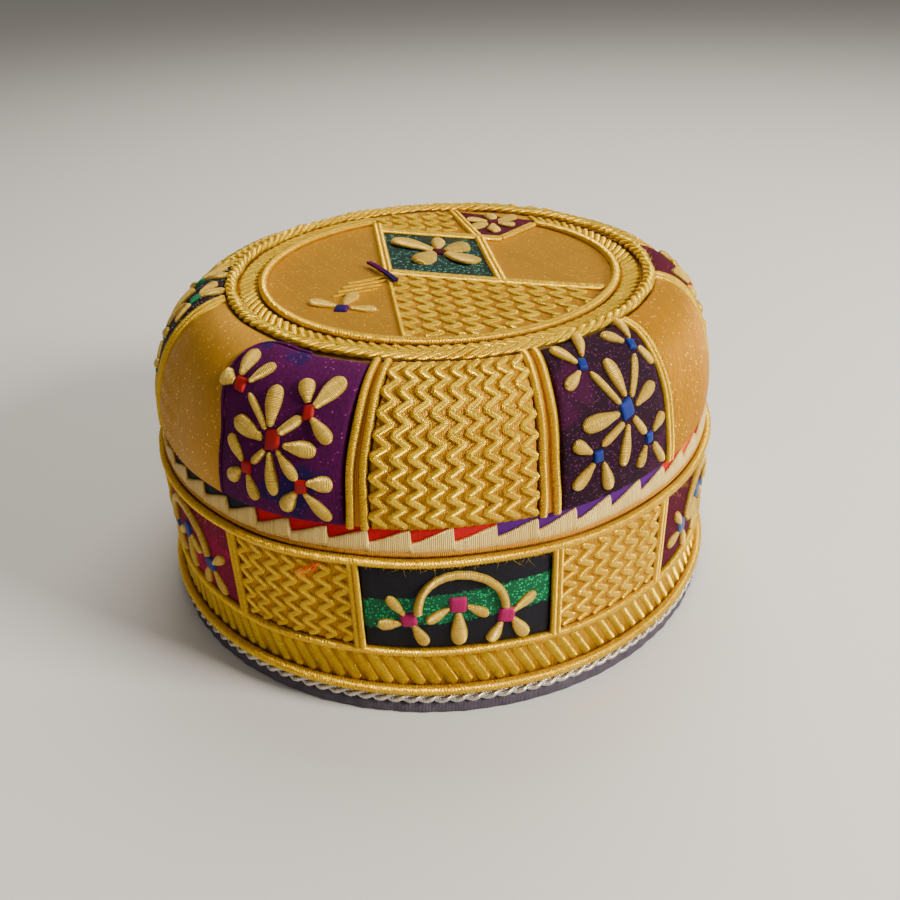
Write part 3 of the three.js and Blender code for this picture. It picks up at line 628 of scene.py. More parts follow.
def finish_cloth(name, deep, light, pitch=0.45, lean=0.0, bump=0.35, roughness=0.45, metallic=0.0,
                 tone_spread=0.5, specks=0.0, speck_colour=None, speck_scale=1500.0, stripe=None,
                 fine=0.25, gloss=0.3, patch=None):
    """A thread finish. The colour runs from deep in the grooves to light on the crests, which is painted
    shade in the grooves and painted light on the crests, and from thread to thread, drifts over the
    cloth, turns to the patch colour where the slow drift passes a threshold, and may carry bright
    specks, or a stripe of them: on the gold and on the petals the specks are painted glints, on the
    velvets coloured specks of thread. The factor between the two colours adds up the crest, the
    thread's own tone, both sizes of drift and the shade of the stitch, less a level."""
    material = bpy.data.materials.new(name)
    material.use_nodes = True
    tree = material.node_tree
    shader = tree.nodes["Principled BSDF"]
    coords = tree.nodes.new("ShaderNodeTexCoord")
    threads = grouped(tree, THREADS, UV=coords.outputs["UV"], Pitch=pitch, Lean=lean, Waver=WAVER)
    tones = grouped(tree, DRIFT, Vector=coords.outputs["Object"])
    shade = wire(tree, "ShaderNodeAttribute", attribute_name="shade").outputs["Fac"]
    # Painted light on the crests of the threads and painted shade in the grooves between them
    factor = math_node(tree, "MULTIPLY", threads.outputs["Height"], PAINTED_CREST_WEIGHT)
    for source, weight in (
        (threads.outputs["Tone"], tone_spread * 0.5), (tones.outputs["Slow"], SLOW_WEIGHT),
        (tones.outputs["Fine"], fine), (shade, SHADE_WEIGHT),
    ):
        factor = math_node(tree, "MULTIPLY_ADD", source, weight, factor)
    factor = math_node(tree, "SUBTRACT", factor, LEVEL + fine * 0.4, clamp=True)
    colour = mix_colour(tree, factor, rgba(deep), rgba(light))
    if patch:
        patch_colour, threshold = patch
        past = math_node(tree, "SUBTRACT", tones.outputs["Slow"], threshold)
        over = math_node(tree, "MULTIPLY", past, PATCH_SHARPNESS, clamp=True)
        strength = math_node(tree, "MULTIPLY_ADD", factor, 0.6, 0.4)
        toned = math_node(tree, "MULTIPLY", over, strength)
        colour = mix_colour(tree, toned, colour, rgba(patch_colour))
    if specks:
        spots = grouped(tree, SPECKS, Vector=coords.outputs["Object"], Scale=speck_scale, Share=specks)
        mask = spots.outputs["Mask"]
        if stripe:
            low, high, rise = stripe
            split = wire(tree, "ShaderNodeSeparateXYZ", {0: coords.outputs["UV"]})
            tilt = math_node(tree, "MULTIPLY_ADD", split.outputs["X"], -rise, split.outputs["Y"])
            wave = math_node(tree, "MULTIPLY_ADD", tones.outputs["Fine"], STRIPE_WAVE, tilt)
            above = math_node(tree, "GREATER_THAN", wave, low)
            inside = math_node(tree, "MULTIPLY", above, math_node(tree, "LESS_THAN", wave, high))
            ground = math_node(tree, "MULTIPLY", inside, STRIPE_COVER)
            colour = mix_colour(tree, ground, colour, rgba([c * STRIPE_DARKNESS for c in speck_colour]))
            mask = math_node(tree, "MULTIPLY", mask, inside)
        # On the gold and the petals these specks are painted glints, bright flecks of painted highlight
        glint = math_node(tree, "MULTIPLY_ADD", spots.outputs["Tone"], 0.7, 0.3)
        bright = math_node(tree, "MULTIPLY", mask, glint)
        colour = mix_colour(tree, bright, colour, rgba(speck_colour))
        rough = math_node(tree, "MULTIPLY_ADD", mask, -0.12, roughness)
    else:
        rough = math_node(tree, "MULTIPLY_ADD", threads.outputs["Tone"], 0.16, roughness - 0.08)
    tree.links.new(colour, shader.inputs["Base Color"])
    tree.links.new(rough, shader.inputs["Roughness"])
    shader.inputs["Metallic"].default_value = metallic
    shader.inputs["Specular IOR Level"].default_value = gloss
    height = math_node(tree, "MULTIPLY_ADD", tones.outputs["Fine"], 0.5, threads.outputs["Height"])
    bumped = wire(tree, "ShaderNodeBump", {"Height": height, "Strength": bump, "Distance": BUMP_DEPTH})
    tree.links.new(bumped.outputs["Normal"], shader.inputs["Normal"])
    FINISHES[name] = material


# Gold thread finishes: their bright specks are painted glints, flecks of painted highlight on the metal
# thread
GOLD_DEEP = (0.24, 0.09, 0.001)
GOLD_MID = (0.56, 0.26, 0.003)
GOLD_PALE = (1.0, 0.66, 0.022)
GOLD_PAINTED_GLINT = (1.0, 0.8, 0.12)
finish_cloth("gold_cord", GOLD_MID, GOLD_PALE, pitch=0.42, lean=0.3, metallic=0.8, roughness=0.35, bump=0.9,
             specks=0.1, speck_colour=GOLD_PAINTED_GLINT)
finish_cloth("gold_couching", (0.6, 0.3, 0.003), (1.0, 0.7, 0.025), pitch=0.4, lean=0.5, metallic=0.85,
             roughness=0.33, bump=0.8, specks=0.13, speck_colour=(1.0, 0.85, 0.16))
finish_cloth("gold_ridge", (0.5, 0.25, 0.003), (1.0, 0.64, 0.015), lean=0.4, metallic=0.8, roughness=0.32,
             bump=0.8, specks=0.1, speck_colour=GOLD_PAINTED_GLINT)
finish_cloth("gold_ground", GOLD_DEEP, (0.7, 0.36, 0.005), pitch=0.42, metallic=0.45, roughness=0.42,
             bump=0.8)
finish_cloth("gold_satin", (0.36, 0.15, 0.002), (0.62, 0.3, 0.005), pitch=0.5, lean=0.6, metallic=0.5,
             roughness=0.42, specks=0.09, speck_colour=(1.0, 0.72, 0.12), bump=0.8)
finish_cloth("gold_satin_bright", (0.28, 0.11, 0.001), (0.52, 0.23, 0.003), pitch=0.5, lean=-0.4,
             metallic=0.4, roughness=0.5, gloss=0.12, specks=0.09, speck_colour=(1.0, 0.62, 0.08),
             speck_scale=1300.0, bump=0.8)
finish_cloth("gold_slant", (0.5, 0.25, 0.003), (1.0, 0.7, 0.02), pitch=0.4, metallic=0.85, roughness=0.28,
             bump=0.8, specks=0.05, speck_colour=(1.0, 0.82, 0.12))
finish_cloth("cream_teeth", (0.42, 0.23, 0.03), (0.9, 0.65, 0.2), pitch=0.5, metallic=0.1, roughness=0.36,
             tone_spread=0.7, bump=0.8)
# The petals' bright specks are painted glints
finish_cloth("cream_petal", (0.28, 0.14, 0.007), (0.92, 0.6, 0.07), pitch=0.42, roughness=0.36, metallic=0.4,
             tone_spread=0.6, bump=1.0, specks=0.06, speck_colour=(1.0, 0.9, 0.45))
finish_cloth("ochre_edge", (0.34, 0.12, 0.003), (0.62, 0.27, 0.008), pitch=0.5, roughness=0.5, bump=0.8)
finish_cloth("slate_cloth", (0.03, 0.024, 0.035), (0.11, 0.09, 0.12), pitch=0.4, roughness=0.9, bump=0.7)
finish_cloth("bright_metal_thread", (0.3, 0.26, 0.22), (0.85, 0.8, 0.7), pitch=0.35, metallic=0.75,
             roughness=0.25, bump=0.4)
finish_cloth("backing_cloth", (0.2, 0.1, 0.02), (0.36, 0.19, 0.04), pitch=0.5, roughness=0.8, bump=0.5)

# Felts: name, deep and light colour, roughness
for name, deep, light, roughness in (
    ("felt_red", (0.3, 0.003, 0.006), (0.52, 0.006, 0.01), 0.8),
    ("felt_purple", (0.035, 0.003, 0.08), (0.08, 0.008, 0.16), 0.8),
    ("felt_black", (0.005, 0.005, 0.008), (0.02, 0.02, 0.028), 0.85),
    ("felt_orange", (0.55, 0.05, 0.006), (0.8, 0.12, 0.015), 0.8),
    ("felt_green", (0.005, 0.09, 0.035), (0.02, 0.28, 0.1), 0.8),
):
    finish_cloth(name, deep, light, pitch=0.3, roughness=roughness, fine=0.4, gloss=0.15)

# Velvets: name, deep and light colour, roughness, gloss, share and colour of specks, and the rest
for name, deep, light, roughness, gloss, specks, speck_colour, rest in (
    ("velvet_purple", (0.014, 0.001, 0.016), (0.1, 0.003, 0.075), 0.8, 0.1, 0.07, (0.3, 0.03, 0.2),
     dict(fine=0.9, patch=((0.006, 0.006, 0.07), 0.53))),
    ("velvet_black", (0.003, 0.001, 0.005), (0.02, 0.003, 0.012), 0.75, 0.1, 0.2, (0.13, 0.03, 0.1),
     dict(fine=0.9, speck_scale=2100.0, patch=((0.04, 0.002, 0.024), 0.57))),
    ("velvet_green", (0.001, 0.005, 0.005), (0.003, 0.02, 0.014), 0.6, 0.15, 0.24, (0.1, 0.6, 0.4),
     dict(fine=0.7)),
    ("velvet_stripe", (0.003, 0.003, 0.005), (0.012, 0.012, 0.018), 0.65, 0.12, 0.55, (0.02, 0.5, 0.18),
     dict(fine=0.7, stripe=(-3.2, 6.8, 0.1))),
    ("velvet_crimson", (0.05, 0.001, 0.01), (0.22, 0.002, 0.035), 0.75, 0.12, 0.1, (0.6, 0.02, 0.12),
     dict(fine=0.7, patch=((0.36, 0.002, 0.07), 0.55))),
    ("velvet_maroon", (0.014, 0.001, 0.004), (0.08, 0.003, 0.016), 0.75, 0.1, 0.05, (0.3, 0.04, 0.12),
     dict(fine=0.7)),
    ("velvet_mixed", (0.003, 0.003, 0.006), (0.03, 0.006, 0.02), 0.75, 0.1, 0.3, (0.3, 0.45, 0.25),
     dict(fine=0.9, patch=((0.16, 0.002, 0.03), 0.55))),
):
    finish_cloth(name, deep, light, pitch=0.25, roughness=roughness, gloss=gloss, specks=specks,
                 speck_colour=speck_colour, **rest)

# Hearts: name, deep and light colour, roughness
for name, deep, light, roughness in (
    ("heart_red", (0.16, 0.002, 0.003), (0.42, 0.006, 0.008), 0.6),
    ("heart_blue", (0.002, 0.008, 0.08), (0.006, 0.028, 0.24), 0.5),
    ("heart_magenta", (0.2, 0.001, 0.05), (0.36, 0.001, 0.09), 0.55),
    ("heart_grey", (0.02, 0.035, 0.09), (0.07, 0.12, 0.25), 0.5),
):
    finish_cloth(name, deep, light, pitch=0.35, roughness=roughness, gloss=0.2)


# Rim and hem

RING_STEPS = 2600  # places along a cord that goes round the cap
BINDING_FUZZ = (2.2, 2.9, 3.6)
TWIST_LAYS = 65
TWIST_STEPS = 131 * 12
SLANT_RISE = 0.45  # of the ground under the slanted stitches
SLANT_BEVEL = 0.4
SLANT_LEAN = 3.0 / RIM_RADIUS


def ring_angles(count):
    """Angles evenly round the cap, without the last, which is the first again."""
    return np.arange(count) / count * TURN


def make_binding():
    """Slate cloth folded round the rim: a closed section of radii and heights carried round, its outer
    side puckered by two waves."""
    binding = Piece("rim_binding_cloth")
    foot = RIM_RADIUS + FOOT_FLARE
    inner = foot - BAND_WALL - GAP - BINDING_THICK
    outer = foot + GAP + BINDING_THICK
    tuck = RIM_RADIUS + FOOT_FLARE * smooth(1 - BINDING_TUCK / FLARE_HEIGHT) - BAND_WALL - GAP
    # Radius, height and how much of the pucker reaches it
    section = np.array([
        [inner, 0.6, 0], [inner + 0.25, 0.12, 0], [inner + 0.8, 0.0, 0], [outer - 0.8, 0.0, 0],
        [outer - 0.2, 0.12, 0.5], [outer + 0.15, 0.7, 1], [outer + 0.2, 2.0, 1], [outer - 0.1, 3.2, 1],
        [outer - 0.4, BINDING_RISE - 0.1, 0.5], [foot + GAP, BINDING_RISE, 0], [foot + GAP, 1.4, 0],
        [foot - BAND_WALL - GAP, 1.4, 0], [tuck, BINDING_TUCK - 0.2, 0], [tuck - 0.5, BINDING_TUCK, 0],
        [tuck - BINDING_THICK, BINDING_TUCK - 0.4, 0],
    ])
    angle = ring_angles(720)[:, None]
    pucker = 0.12 * np.sin(angle * 97) + 0.1 * np.sin(angle * 41 + 1)
    radius = section[:, 0] + pucker * section[:, 2]
    height = section[:, 1] + 0 * radius
    grid = np.stack([radius * np.sin(angle), -radius * np.cos(angle), height], -1)
    binding.add(grid, "slate_cloth", ring_u=True, ring_v=True)
    for height in BINDING_FUZZ:
        put_fuzz(binding, "slate_cloth", band_at, ring_angles(900), height, GAP + BINDING_THICK, 600,
                 length=0.6)
    binding.make("rim_binding")


def make_twist():
    """Two strands of bright metal thread, half a turn apart, twisted round one line."""
    twist = Piece("rim_twist_cord")
    angle = ring_angles(TWIST_STEPS)
    strand = RIM_TWIST * 0.56
    for phase in (0, np.pi):
        turn = angle * TWIST_LAYS + phase
        put_strand(twist, "bright_metal_thread", band_at, angle, TWIST_HEIGHT, strand * np.sin(turn),
                   GAP + RIM_TWIST + strand * np.cos(turn), strand * 1.08, strand * 1.08)
    twist.make("rim_twist")


def make_hem():
    """The stout cord over the twist, with fibres along its upper side."""
    hem = Piece("hem_cord_wrapped")
    angle = ring_angles(RING_STEPS)
    put_cord(hem, "gold_cord", band_at, angle, HEM_HEIGHT, HEM_CORD, closed=True, lift=GAP + HEM_CORD,
             slant=0.5, **STOUT)
    put_fuzz(hem, "gold_cord", band_at, angle, HEM_HEIGHT + 1.0, GAP + 2.3 * HEM_CORD * 0.8, 900)
    hem.make("hem_cord")


def make_slant_border():
    """A low band of gold ground under slanted stitches, which are wider at the left than at the right."""
    slant = Piece("slant_border_stitches")
    foot_edge = HEM_HEIGHT + HEM_CORD * 0.35  # the stitches run in behind the hem cord
    head_edge = WAIST_HEIGHT - WAIST_CORD - GAP
    heights = np.array([foot_edge, foot_edge + SLANT_BEVEL, head_edge - SLANT_BEVEL, head_edge])
    lifts = GAP + np.array([0, SLANT_RISE, SLANT_RISE, 0])
    grid = band_at(ring_angles(360)[:, None], heights[None, :], lifts[None, :])
    slant.add(grid, "gold_ground", ring_u=True)
    t = np.linspace(-1, 1, BAR_STEPS)
    heights = (foot_edge + head_edge) / 2 - t * (head_edge - foot_edge) * 0.52
    for k in range(SLANT_BARS):
        middle = k / SLANT_BARS * TURN
        angles = middle + SLANT_LEAN * t + 0.002 * rng.standard_normal()
        half_width = 1.95 - 0.4 * smooth((np.sin(middle) + 0.15) / 0.5)
        put_bar(slant, "gold_slant", band_at, angles, heights, GAP + 0.35, half_width, 0.18, 8,
                shade=0.2 + 0.7 * rng.random())
    slant.make("slant_border")


# Band

def band_place(middle):
    """Places on a band panel in millimetres from its middle, across and up."""
    centre = (PANEL_FOOT + PANEL_HEAD) / 2
    return lambda x, y, lift=0.0: band_at(middle + np.asarray(x) / RIM_RADIUS, centre + np.asarray(y), lift)


# Petals of a band flower panel: start, end and half width in millimetres from the panel's middle
BAND_FLOWER_PETALS = [
    ((-2.4, 0.4), (-8.6, -4.4), 1.65),
    ((2.4, 0.6), (8.0, -3.4), 1.6),
    ((0.0, -1.6), (0.0, -13.4), 2.35),
    ((-14.4, -1.8), (-18.8, 4.4), 1.6),
    ((-15.4, -4.6), (-22.0, -6.0), 2.0),
    ((-12.2, -5.4), (-9.0, -12.8), 1.9),
    ((14.6, -3.6), (21.2, 1.8), 1.7),
    ((14.8, -6.0), (18.8, -13.6), 2.1),
    ((11.6, -6.6), (8.4, -13.6), 2.0),
]
BAND_HEARTS = [((0.0, 1.2), 2.4), ((-13.4, -3.4), 2.2), ((13.1, -4.4), 2.4)]
# The arch over them: half of its span, the height of its feet, its rise and its cord
ARCH_HALF = 11.8
ARCH_FOOT = -2.0
ARCH_RISE = 13.6
ARCH_CORD = 1.25
# The ground and the hearts of each flower panel, to the right from the front
BAND_VELVETS = [
    ("velvet_stripe", "heart_magenta"),
    ("velvet_maroon", "heart_grey"),
    ("velvet_purple", "heart_red"),
    ("velvet_green", "heart_magenta"),
    ("velvet_black", "heart_blue"),
    ("velvet_crimson", "heart_blue"),
]
BAND_COLUMNS = 7
BAND_PERIOD = 5.6
CROWN_COLUMNS = 9
CROWN_PERIOD = 5.3
ZIGZAG_SWING = 0.36  # of the space between two zigzags
ZIGZAG_STEPS = 14  # places along one period
UPRIGHT_SPREAD = 0.75  # each upright cord lies this far from the seam


def put_heart(piece, finish, place, centre, size, lift):
    """A flat square of satin stitch over the meeting point of petals: the lift over it is a rise times
    the square root of one less the sixth power of the way out to its edge."""
    steps, rise, sink = 13, 1.2, 0.3
    s = np.sin(np.linspace(-np.pi / 2, np.pi / 2, steps))
    a, b = np.meshgrid(s, s, indexing="ij")
    out = (np.abs(a) ** 8 + np.abs(b) ** 8) ** 0.125
    edge = np.maximum(np.abs(a), np.abs(b))
    squash = np.where(out > 0, edge / np.maximum(out, 1e-6), 1)
    turn = 0.14 * rng.standard_normal()
    x = centre[0] + size * squash * (a * np.cos(turn) - b * np.sin(turn))
    y = centre[1] + size * 1.1 * squash * (a * np.sin(turn) + b * np.cos(turn))
    height = lift - sink + rise * np.clip(1 - edge ** 6, 0, 1) ** 0.5
    grid = place(x, y, height)
    piece.add(grid, finish, uv=np.stack([x, y], -1), shade=0.3 + 0.5 * rng.random())


def make_band_panels():
    """Flower panels under an arch at the whole pairs, zigzag panels between them."""
    half_height = (PANEL_HEAD - PANEL_FOOT) / 2 + 0.8
    lift = GAP + PANEL_THICK
    for k in range(PANELS):
        flower = k % 2 == 0
        half = (BAND_FLOWER_HALF if flower else PAIR / 2 - BAND_FLOWER_HALF) * RIM_RADIUS - 0.9
        sides, ends = (-half, half), (-half_height, half_height)
        place = band_place(k * PAIR / 2)
        name = f"band_flower_{k + 1}" if flower else f"band_zigzag_{k + 1}"
        piece = Piece(name + "_stitched")
        if flower:
            ground, heart = BAND_VELVETS[k // 2]
            put_pad(piece, ground, place, sides, ends, steps=(30, 24))
            for start, end, width in BAND_FLOWER_PETALS:
                put_petal(piece, place, start, end, width, lift=lift, rise=1.3)
            for centre, size in BAND_HEARTS:
                put_heart(piece, heart, place, centre, size, lift)
            t = np.linspace(0, np.pi, 60)
            xs = -ARCH_HALF * np.cos(t) + 1.0 * np.cos(t) ** 2
            ys = ARCH_FOOT + ARCH_RISE * np.sin(t) ** 0.9
            put_cord(piece, "cream_petal", place, xs, ys, ARCH_CORD, lift=lift + 0.35, sides=10, ridge=0.04,
                     pitch=0.8, ends=0.02)
            piece.make(name)
        else:
            put_pad(piece, "gold_ground", place, sides, ends, steps=(60, 64),
                    crease=chevrons(half, BAND_COLUMNS, BAND_PERIOD, 0.4))
            put_zigzags(piece, "gold_ridge", place, half, half_height, BAND_COLUMNS, BAND_PERIOD, lift - 0.45,
                        radius=1.15)
            piece.make(name)


def make_band_frame():
    """Two cords round the band, a pair of upright ones at each seam between panels, and stray fibres."""
    cords = Piece("band_frame_cords")
    angle = ring_angles(RING_STEPS)
    for height in (WAIST_HEIGHT, COLLAR_HEIGHT):
        put_cord(cords, "gold_cord", band_at, angle, height, WAIST_CORD, closed=True,
                 lift=GAP + WAIST_CORD * 0.9, slant=0.5, **STOUT)
    heights = np.linspace(WAIST_HEIGHT, COLLAR_HEIGHT, 120)
    for k in range(PANELS):
        seam = k // 2 * PAIR + BAND_FLOWER_HALF if k % 2 == 0 else (k // 2 + 1) * PAIR - BAND_FLOWER_HALF
        for side in (-UPRIGHT_SPREAD, UPRIGHT_SPREAD):
            put_cord(cords, "gold_cord", band_at, np.full(120, seam + side / RIM_RADIUS), heights,
                     BAND_UPRIGHT * 0.8, lift=GAP + PANEL_THICK + 0.5, **PAIRED)
    for height in (WAIST_HEIGHT + 0.9, COLLAR_HEIGHT + 0.9, COLLAR_HEIGHT - 1.2, WAIST_HEIGHT - 1.2):
        put_fuzz(cords, "gold_cord", band_at, angle, height, GAP + WAIST_CORD * 1.4, 700)
    orange = np.linspace(-0.46, -0.4, 20)
    put_fuzz(cords, "felt_orange", band_at, orange, COLLAR_HEIGHT - 3 + 50 * (orange + 0.43), 2.2, 60,
             length=2.6, thick=0.09)
    lint = np.linspace(-0.62, -0.58, 12)
    put_fuzz(cords, "cream_teeth", band_at, lint, COLLAR_HEIGHT, 2.6, 14, length=2.0, thick=0.06)
    cords.make("band_frame")


def chevrons(half, columns, period, depth):
    """Relief of the stitches under the zigzags: a rounded ridge each side of every cord, as the
    absolute sine of the way across the columns."""
    spacing = 2 * half / columns

    def relief(x, y):
        along = (x - zigzag(y + period / 4, period, spacing * ZIGZAG_SWING) + half) / spacing
        return depth * np.abs(np.sin(along * np.pi * 2)) - depth
    return relief


def put_zigzags(piece, finish, place, half, half_height, columns, period, lift, radius):
    """Columns of couched zigzag cord, side by side and in step, each a little off its line."""
    spacing = 2 * half / columns
    steps = int(2 * half_height / period * ZIGZAG_STEPS)
    y = np.linspace(-half_height + radius, half_height - radius, steps)
    for k in range(columns):
        centre = -half + (k + 0.5) * spacing
        x = centre + zigzag(y + period / 4, period, spacing * ZIGZAG_SWING)
        x = x + 0.16 * np.sin(y * 0.35 + k * 1.7) + 0.06 * rng.standard_normal()
        put_cord(piece, finish, place, x, y, radius, lift=lift + 0.25, ends=0.02,
                 shade=0.3 + 0.45 * rng.random(), **FLAT_STITCH)


# Tooth border

# Colours of the cloth above the teeth: seen to the right from the front, seen to the left from it, and
# the round in which the unseen ones repeat
PURPLES = ["felt_purple"] * 5
WARM_AND_DARK = ["felt_red", "felt_orange", "felt_red", "felt_black", "felt_black"]
TEETH_RIGHT = ["felt_red"] + PURPLES + WARM_AND_DARK
TEETH_LEFT = ["felt_red"] * 5 + ["felt_black"] * 4
TEETH_UNSEEN = PURPLES + WARM_AND_DARK + ["felt_green", "felt_black", "felt_red", "felt_red"]

# One tooth: shares of its width at which its height is worked out, and its rounded section as shares of
# its height and lifts over the crown
TOOTH_SHARES = np.array([0.0, 0.02, 0.06, 0.12, 0.2, 0.3, 0.4, 0.5, 0.6, 0.7, 0.8, 0.88, 0.94, 0.985])
TOOTH_SECTION = np.array([
    [0.0, 0.25], [0.03, 1.0], [0.12, 1.5], [0.35, 1.75], [0.65, 1.55], [0.88, 1.25], [0.98, 0.85],
    [1.0, 0.3], [0.5, 0.3],
])
TOOTH_SHIFT = np.radians(-0.2)
TOOTH_LEFT_SHADE = 0.45  # how much darker the teeth at the left are painted: painted shade on the side away from the key lamp
FELT_FOOT = TOOTH_LOW - 1.4
FELT_UV_RADIUS = 88


def tooth_colour(k):
    """Colour of the cloth above a tooth, counted to the right from the front."""
    if k < len(TEETH_RIGHT):
        return TEETH_RIGHT[k]
    if TEETH - k <= len(TEETH_LEFT):
        return TEETH_LEFT[TEETH - k - 1]
    return TEETH_UNSEEN[k % len(TEETH_UNSEEN)]


def make_tooth_border():
    """Satin teeth over the seam: a rounded section carried round, whose height climbs along each tooth
    and drops at its end, in front of a flat strip of felt. Those at the left are painted darker and
    more golden, as painted shade on the side away from the key lamp."""
    border = Piece("tooth_border_satin")
    pitch = TURN / TEETH
    count = len(TOOTH_SHARES)
    angle = (np.arange(TEETH)[:, None] + TOOTH_SHARES[None, :]).reshape(-1) * pitch + TOOTH_SHIFT
    climb = smooth(np.clip(TOOTH_SHARES / 0.95, 0, 1)) * 0.35 + TOOTH_SHARES / TOOTH_SHARES[-1] * 0.65
    climb[0] = 0
    wobble = 1 + 0.08 * np.repeat(rng.standard_normal(TEETH), count)
    head = TOOTH_LOW + (TOOTH_HIGH - TOOTH_LOW) * np.tile(climb, TEETH) * wobble
    arc = GAP + head[:, None] * TOOTH_SECTION[None, :, 0]
    grid = crown_at(angle[:, None], arc, GAP + 0.25 + TOOTH_SECTION[None, :, 1])
    u = np.concatenate([angle, [angle[0] + TURN]]) * CROWN_RADIUS
    v = np.concatenate([TOOTH_SECTION[:, 0] * 6, [-3]])
    uv = np.stack(np.meshgrid(u, v, indexing="ij"), -1)
    # Painted shade: the teeth at the left are darkened, on the side away from the key lamp
    left_shade = TOOTH_LEFT_SHADE * smooth((-np.sin(angle) - 0.35) / 0.4)
    shade = 0.4 + 0.4 * np.repeat(rng.random(TEETH), count) - left_shade
    border.add(grid, "cream_teeth", uv, ring_u=True, ring_v=True, shade=shade[:, None])
    put_cord(border, "ochre_edge", crown_at, ring_angles(900), 0.2, 1.15, closed=True, lift=1.3, ridge=0.04,
             pitch=0.8)
    arcs = np.array([FELT_FOOT, TOOTH_LOW, TOOTH_HIGH, CROWN_PANEL_FOOT + 0.6])
    lifts = np.array([0.35, 0.75, 0.8, 0.75])
    for k in range(TEETH):
        angles = (k + np.linspace(0, 1, 7)) * pitch + TOOTH_SHIFT
        grid = crown_at(angles[:, None], arcs[None, :], lifts[None, :])
        uv = np.stack(np.meshgrid(angles * FELT_UV_RADIUS, arcs, indexing="ij"), -1)
        border.add(grid, tooth_colour(k), uv)
    border.make("tooth_border")


# Crown

def crown_place(middle):
    """Places on a crown panel in millimetres from its middle, across at the crown's foot and up."""
    return lambda x, y, lift=0.0: crown_at(
        middle + np.asarray(x) / CROWN_RADIUS, CROWN_PANEL_MIDDLE + np.asarray(y), lift)


# Petals of a crown flower panel: start, end and half width in millimetres from the panel's middle
CROWN_PETALS_A = [
    ((-5.0, 1.2), (-7.2, 10.8), 2.6),
    ((-6.6, -1.9), (-16.2, 0.6), 2.6),
    ((-3.6, -4.6), (-1.6, -16.0), 2.0),
    ((0.2, -2.4), (10.0, -2.6), 2.3),
    ((-6.2, 0.4), (-13.4, 7.2), 1.1),
    ((-2.0, 0.2), (3.9, 4.8), 1.55),
    ((-5.3, -4.5), (-8.9, -8.6), 1.25),
    ((-1.4, -3.7), (5.2, -10.6), 1.7),
    ((-17.4, 10.2), (-18.4, 17.2), 2.4),
    ((-14.4, 9.4), (-11.0, 15.2), 1.7),
    ((-18.6, 8.4), (-23.8, 8.8), 2.6),
    ((4.4, 8.2), (0.8, 13.6), 2.4),
    ((6.6, 7.4), (12.4, 15.2), 2.6),
    ((6.8, 5.0), (13.6, -0.2), 2.1),
    ((-12.2, -9.0), (-18.2, -3.6), 1.9),
    ((-13.0, -11.4), (-17.4, -15.4), 2.2),
    ((-10.2, -12.0), (-7.8, -19.0), 1.9),
    ((8.0, -10.9), (15.2, -10.6), 2.3),
    ((7.4, -13.6), (14.4, -20.8), 1.9),
    ((5.0, -13.8), (0.8, -19.6), 2.3),
]
CROWN_HEARTS_A = [
    ((-3.4, -1.6), 2.9), ((-16.6, 8.4), 2.0), ((5.4, 6.2), 2.1), ((-10.9, -10.3), 2.0), ((6.5, -12.2), 2.2),
]
CROWN_PETALS_B = [
    ((3.7, 3.0), (0.9, 13.7), 2.2),
    ((5.9, 2.2), (12.6, 12.0), 1.2),
    ((1.5, 1.7), (-5.9, 11.8), 1.15),
    ((0.6, -0.5), (-11.6, -0.9), 2.4),
    ((1.7, -3.3), (-6.2, -6.9), 1.3),
    ((3.2, -4.0), (0.7, -14.7), 1.8),
    ((5.6, -3.0), (9.6, -8.7), 1.3),
    ((7.0, -0.3), (16.0, 3.1), 1.9),
    ((-6.2, 16.2), (-1.4, 24.0), 1.7),
    ((-8.9, 14.8), (-14.4, 21.4), 1.9),
    ((-9.2, 12.7), (-14.6, 9.2), 1.7),
    ((11.8, 16.0), (6.4, 20.8), 1.9),
    ((15.0, 16.2), (19.4, 23.4), 1.7),
    ((16.2, 13.2), (19.4, 7.5), 1.5),
    ((12.8, -9.2), (18.4, -6.0), 1.7),
    ((9.4, -12.0), (6.8, -17.6), 1.6),
    ((13.0, -12.8), (18.8, -20.6), 1.5),
    ((-9.4, -7.8), (-14.6, -4.2), 1.9),
    ((-8.8, -10.7), (-14.8, -16.6), 2.0),
    ((-5.8, -11.4), (-3.4, -20.0), 1.9),
]
CROWN_HEARTS_B = [
    ((3.6, -0.2), 2.9), ((-7.4, 14.3), 1.9), ((14.0, 14.7), 1.9), ((11.0, -10.4), 1.8), ((-7.4, -9.3), 1.9),
]
# The ground and the hearts of each flower panel, by its place round the crown
CROWN_VELVETS = {
    1: ("velvet_black", "heart_blue"),
    3: ("velvet_maroon", "heart_red"),
    5: ("velvet_purple", "heart_red"),
    7: ("velvet_green", "heart_blue"),
    9: ("velvet_mixed", "felt_green"),
    11: ("velvet_purple", "heart_red"),
}
FRONT_LEFT, FRONT_RIGHT, LEFT_SATIN = 11, 1, 10
VELVET_REACH = {FRONT_RIGHT: (-18.0, 21.4), FRONT_LEFT: (-22.4, 18.0)}  # both lie over part of a seam
SATIN_REACH = 2.2  # how far the left satin runs under the velvet beside it

DIVIDER_CLEAR = 3.0  # how far a crown panel stays from its seams, for the pair of cords
SQUEEZED = 0.82  # width of the pattern on the narrower velvets
STEM_WIDTH = 1.6  # petals narrower than this are stems: wider at the root and lower
NARROW_DIVIDER, COVERED_DIVIDER = 2, 11

# How the velvet left of the middle bulges: its reach to the left, its rounded corner and its rise
BULGE = 5.2
BULGE_FROM, BULGE_WIDTH = -7, 12
BULGE_LOW, BULGE_CLIMB = -6, 18
BULGE_CORNER = 9
BULGE_INSET = 8.5
BULGE_RISE = 0.75


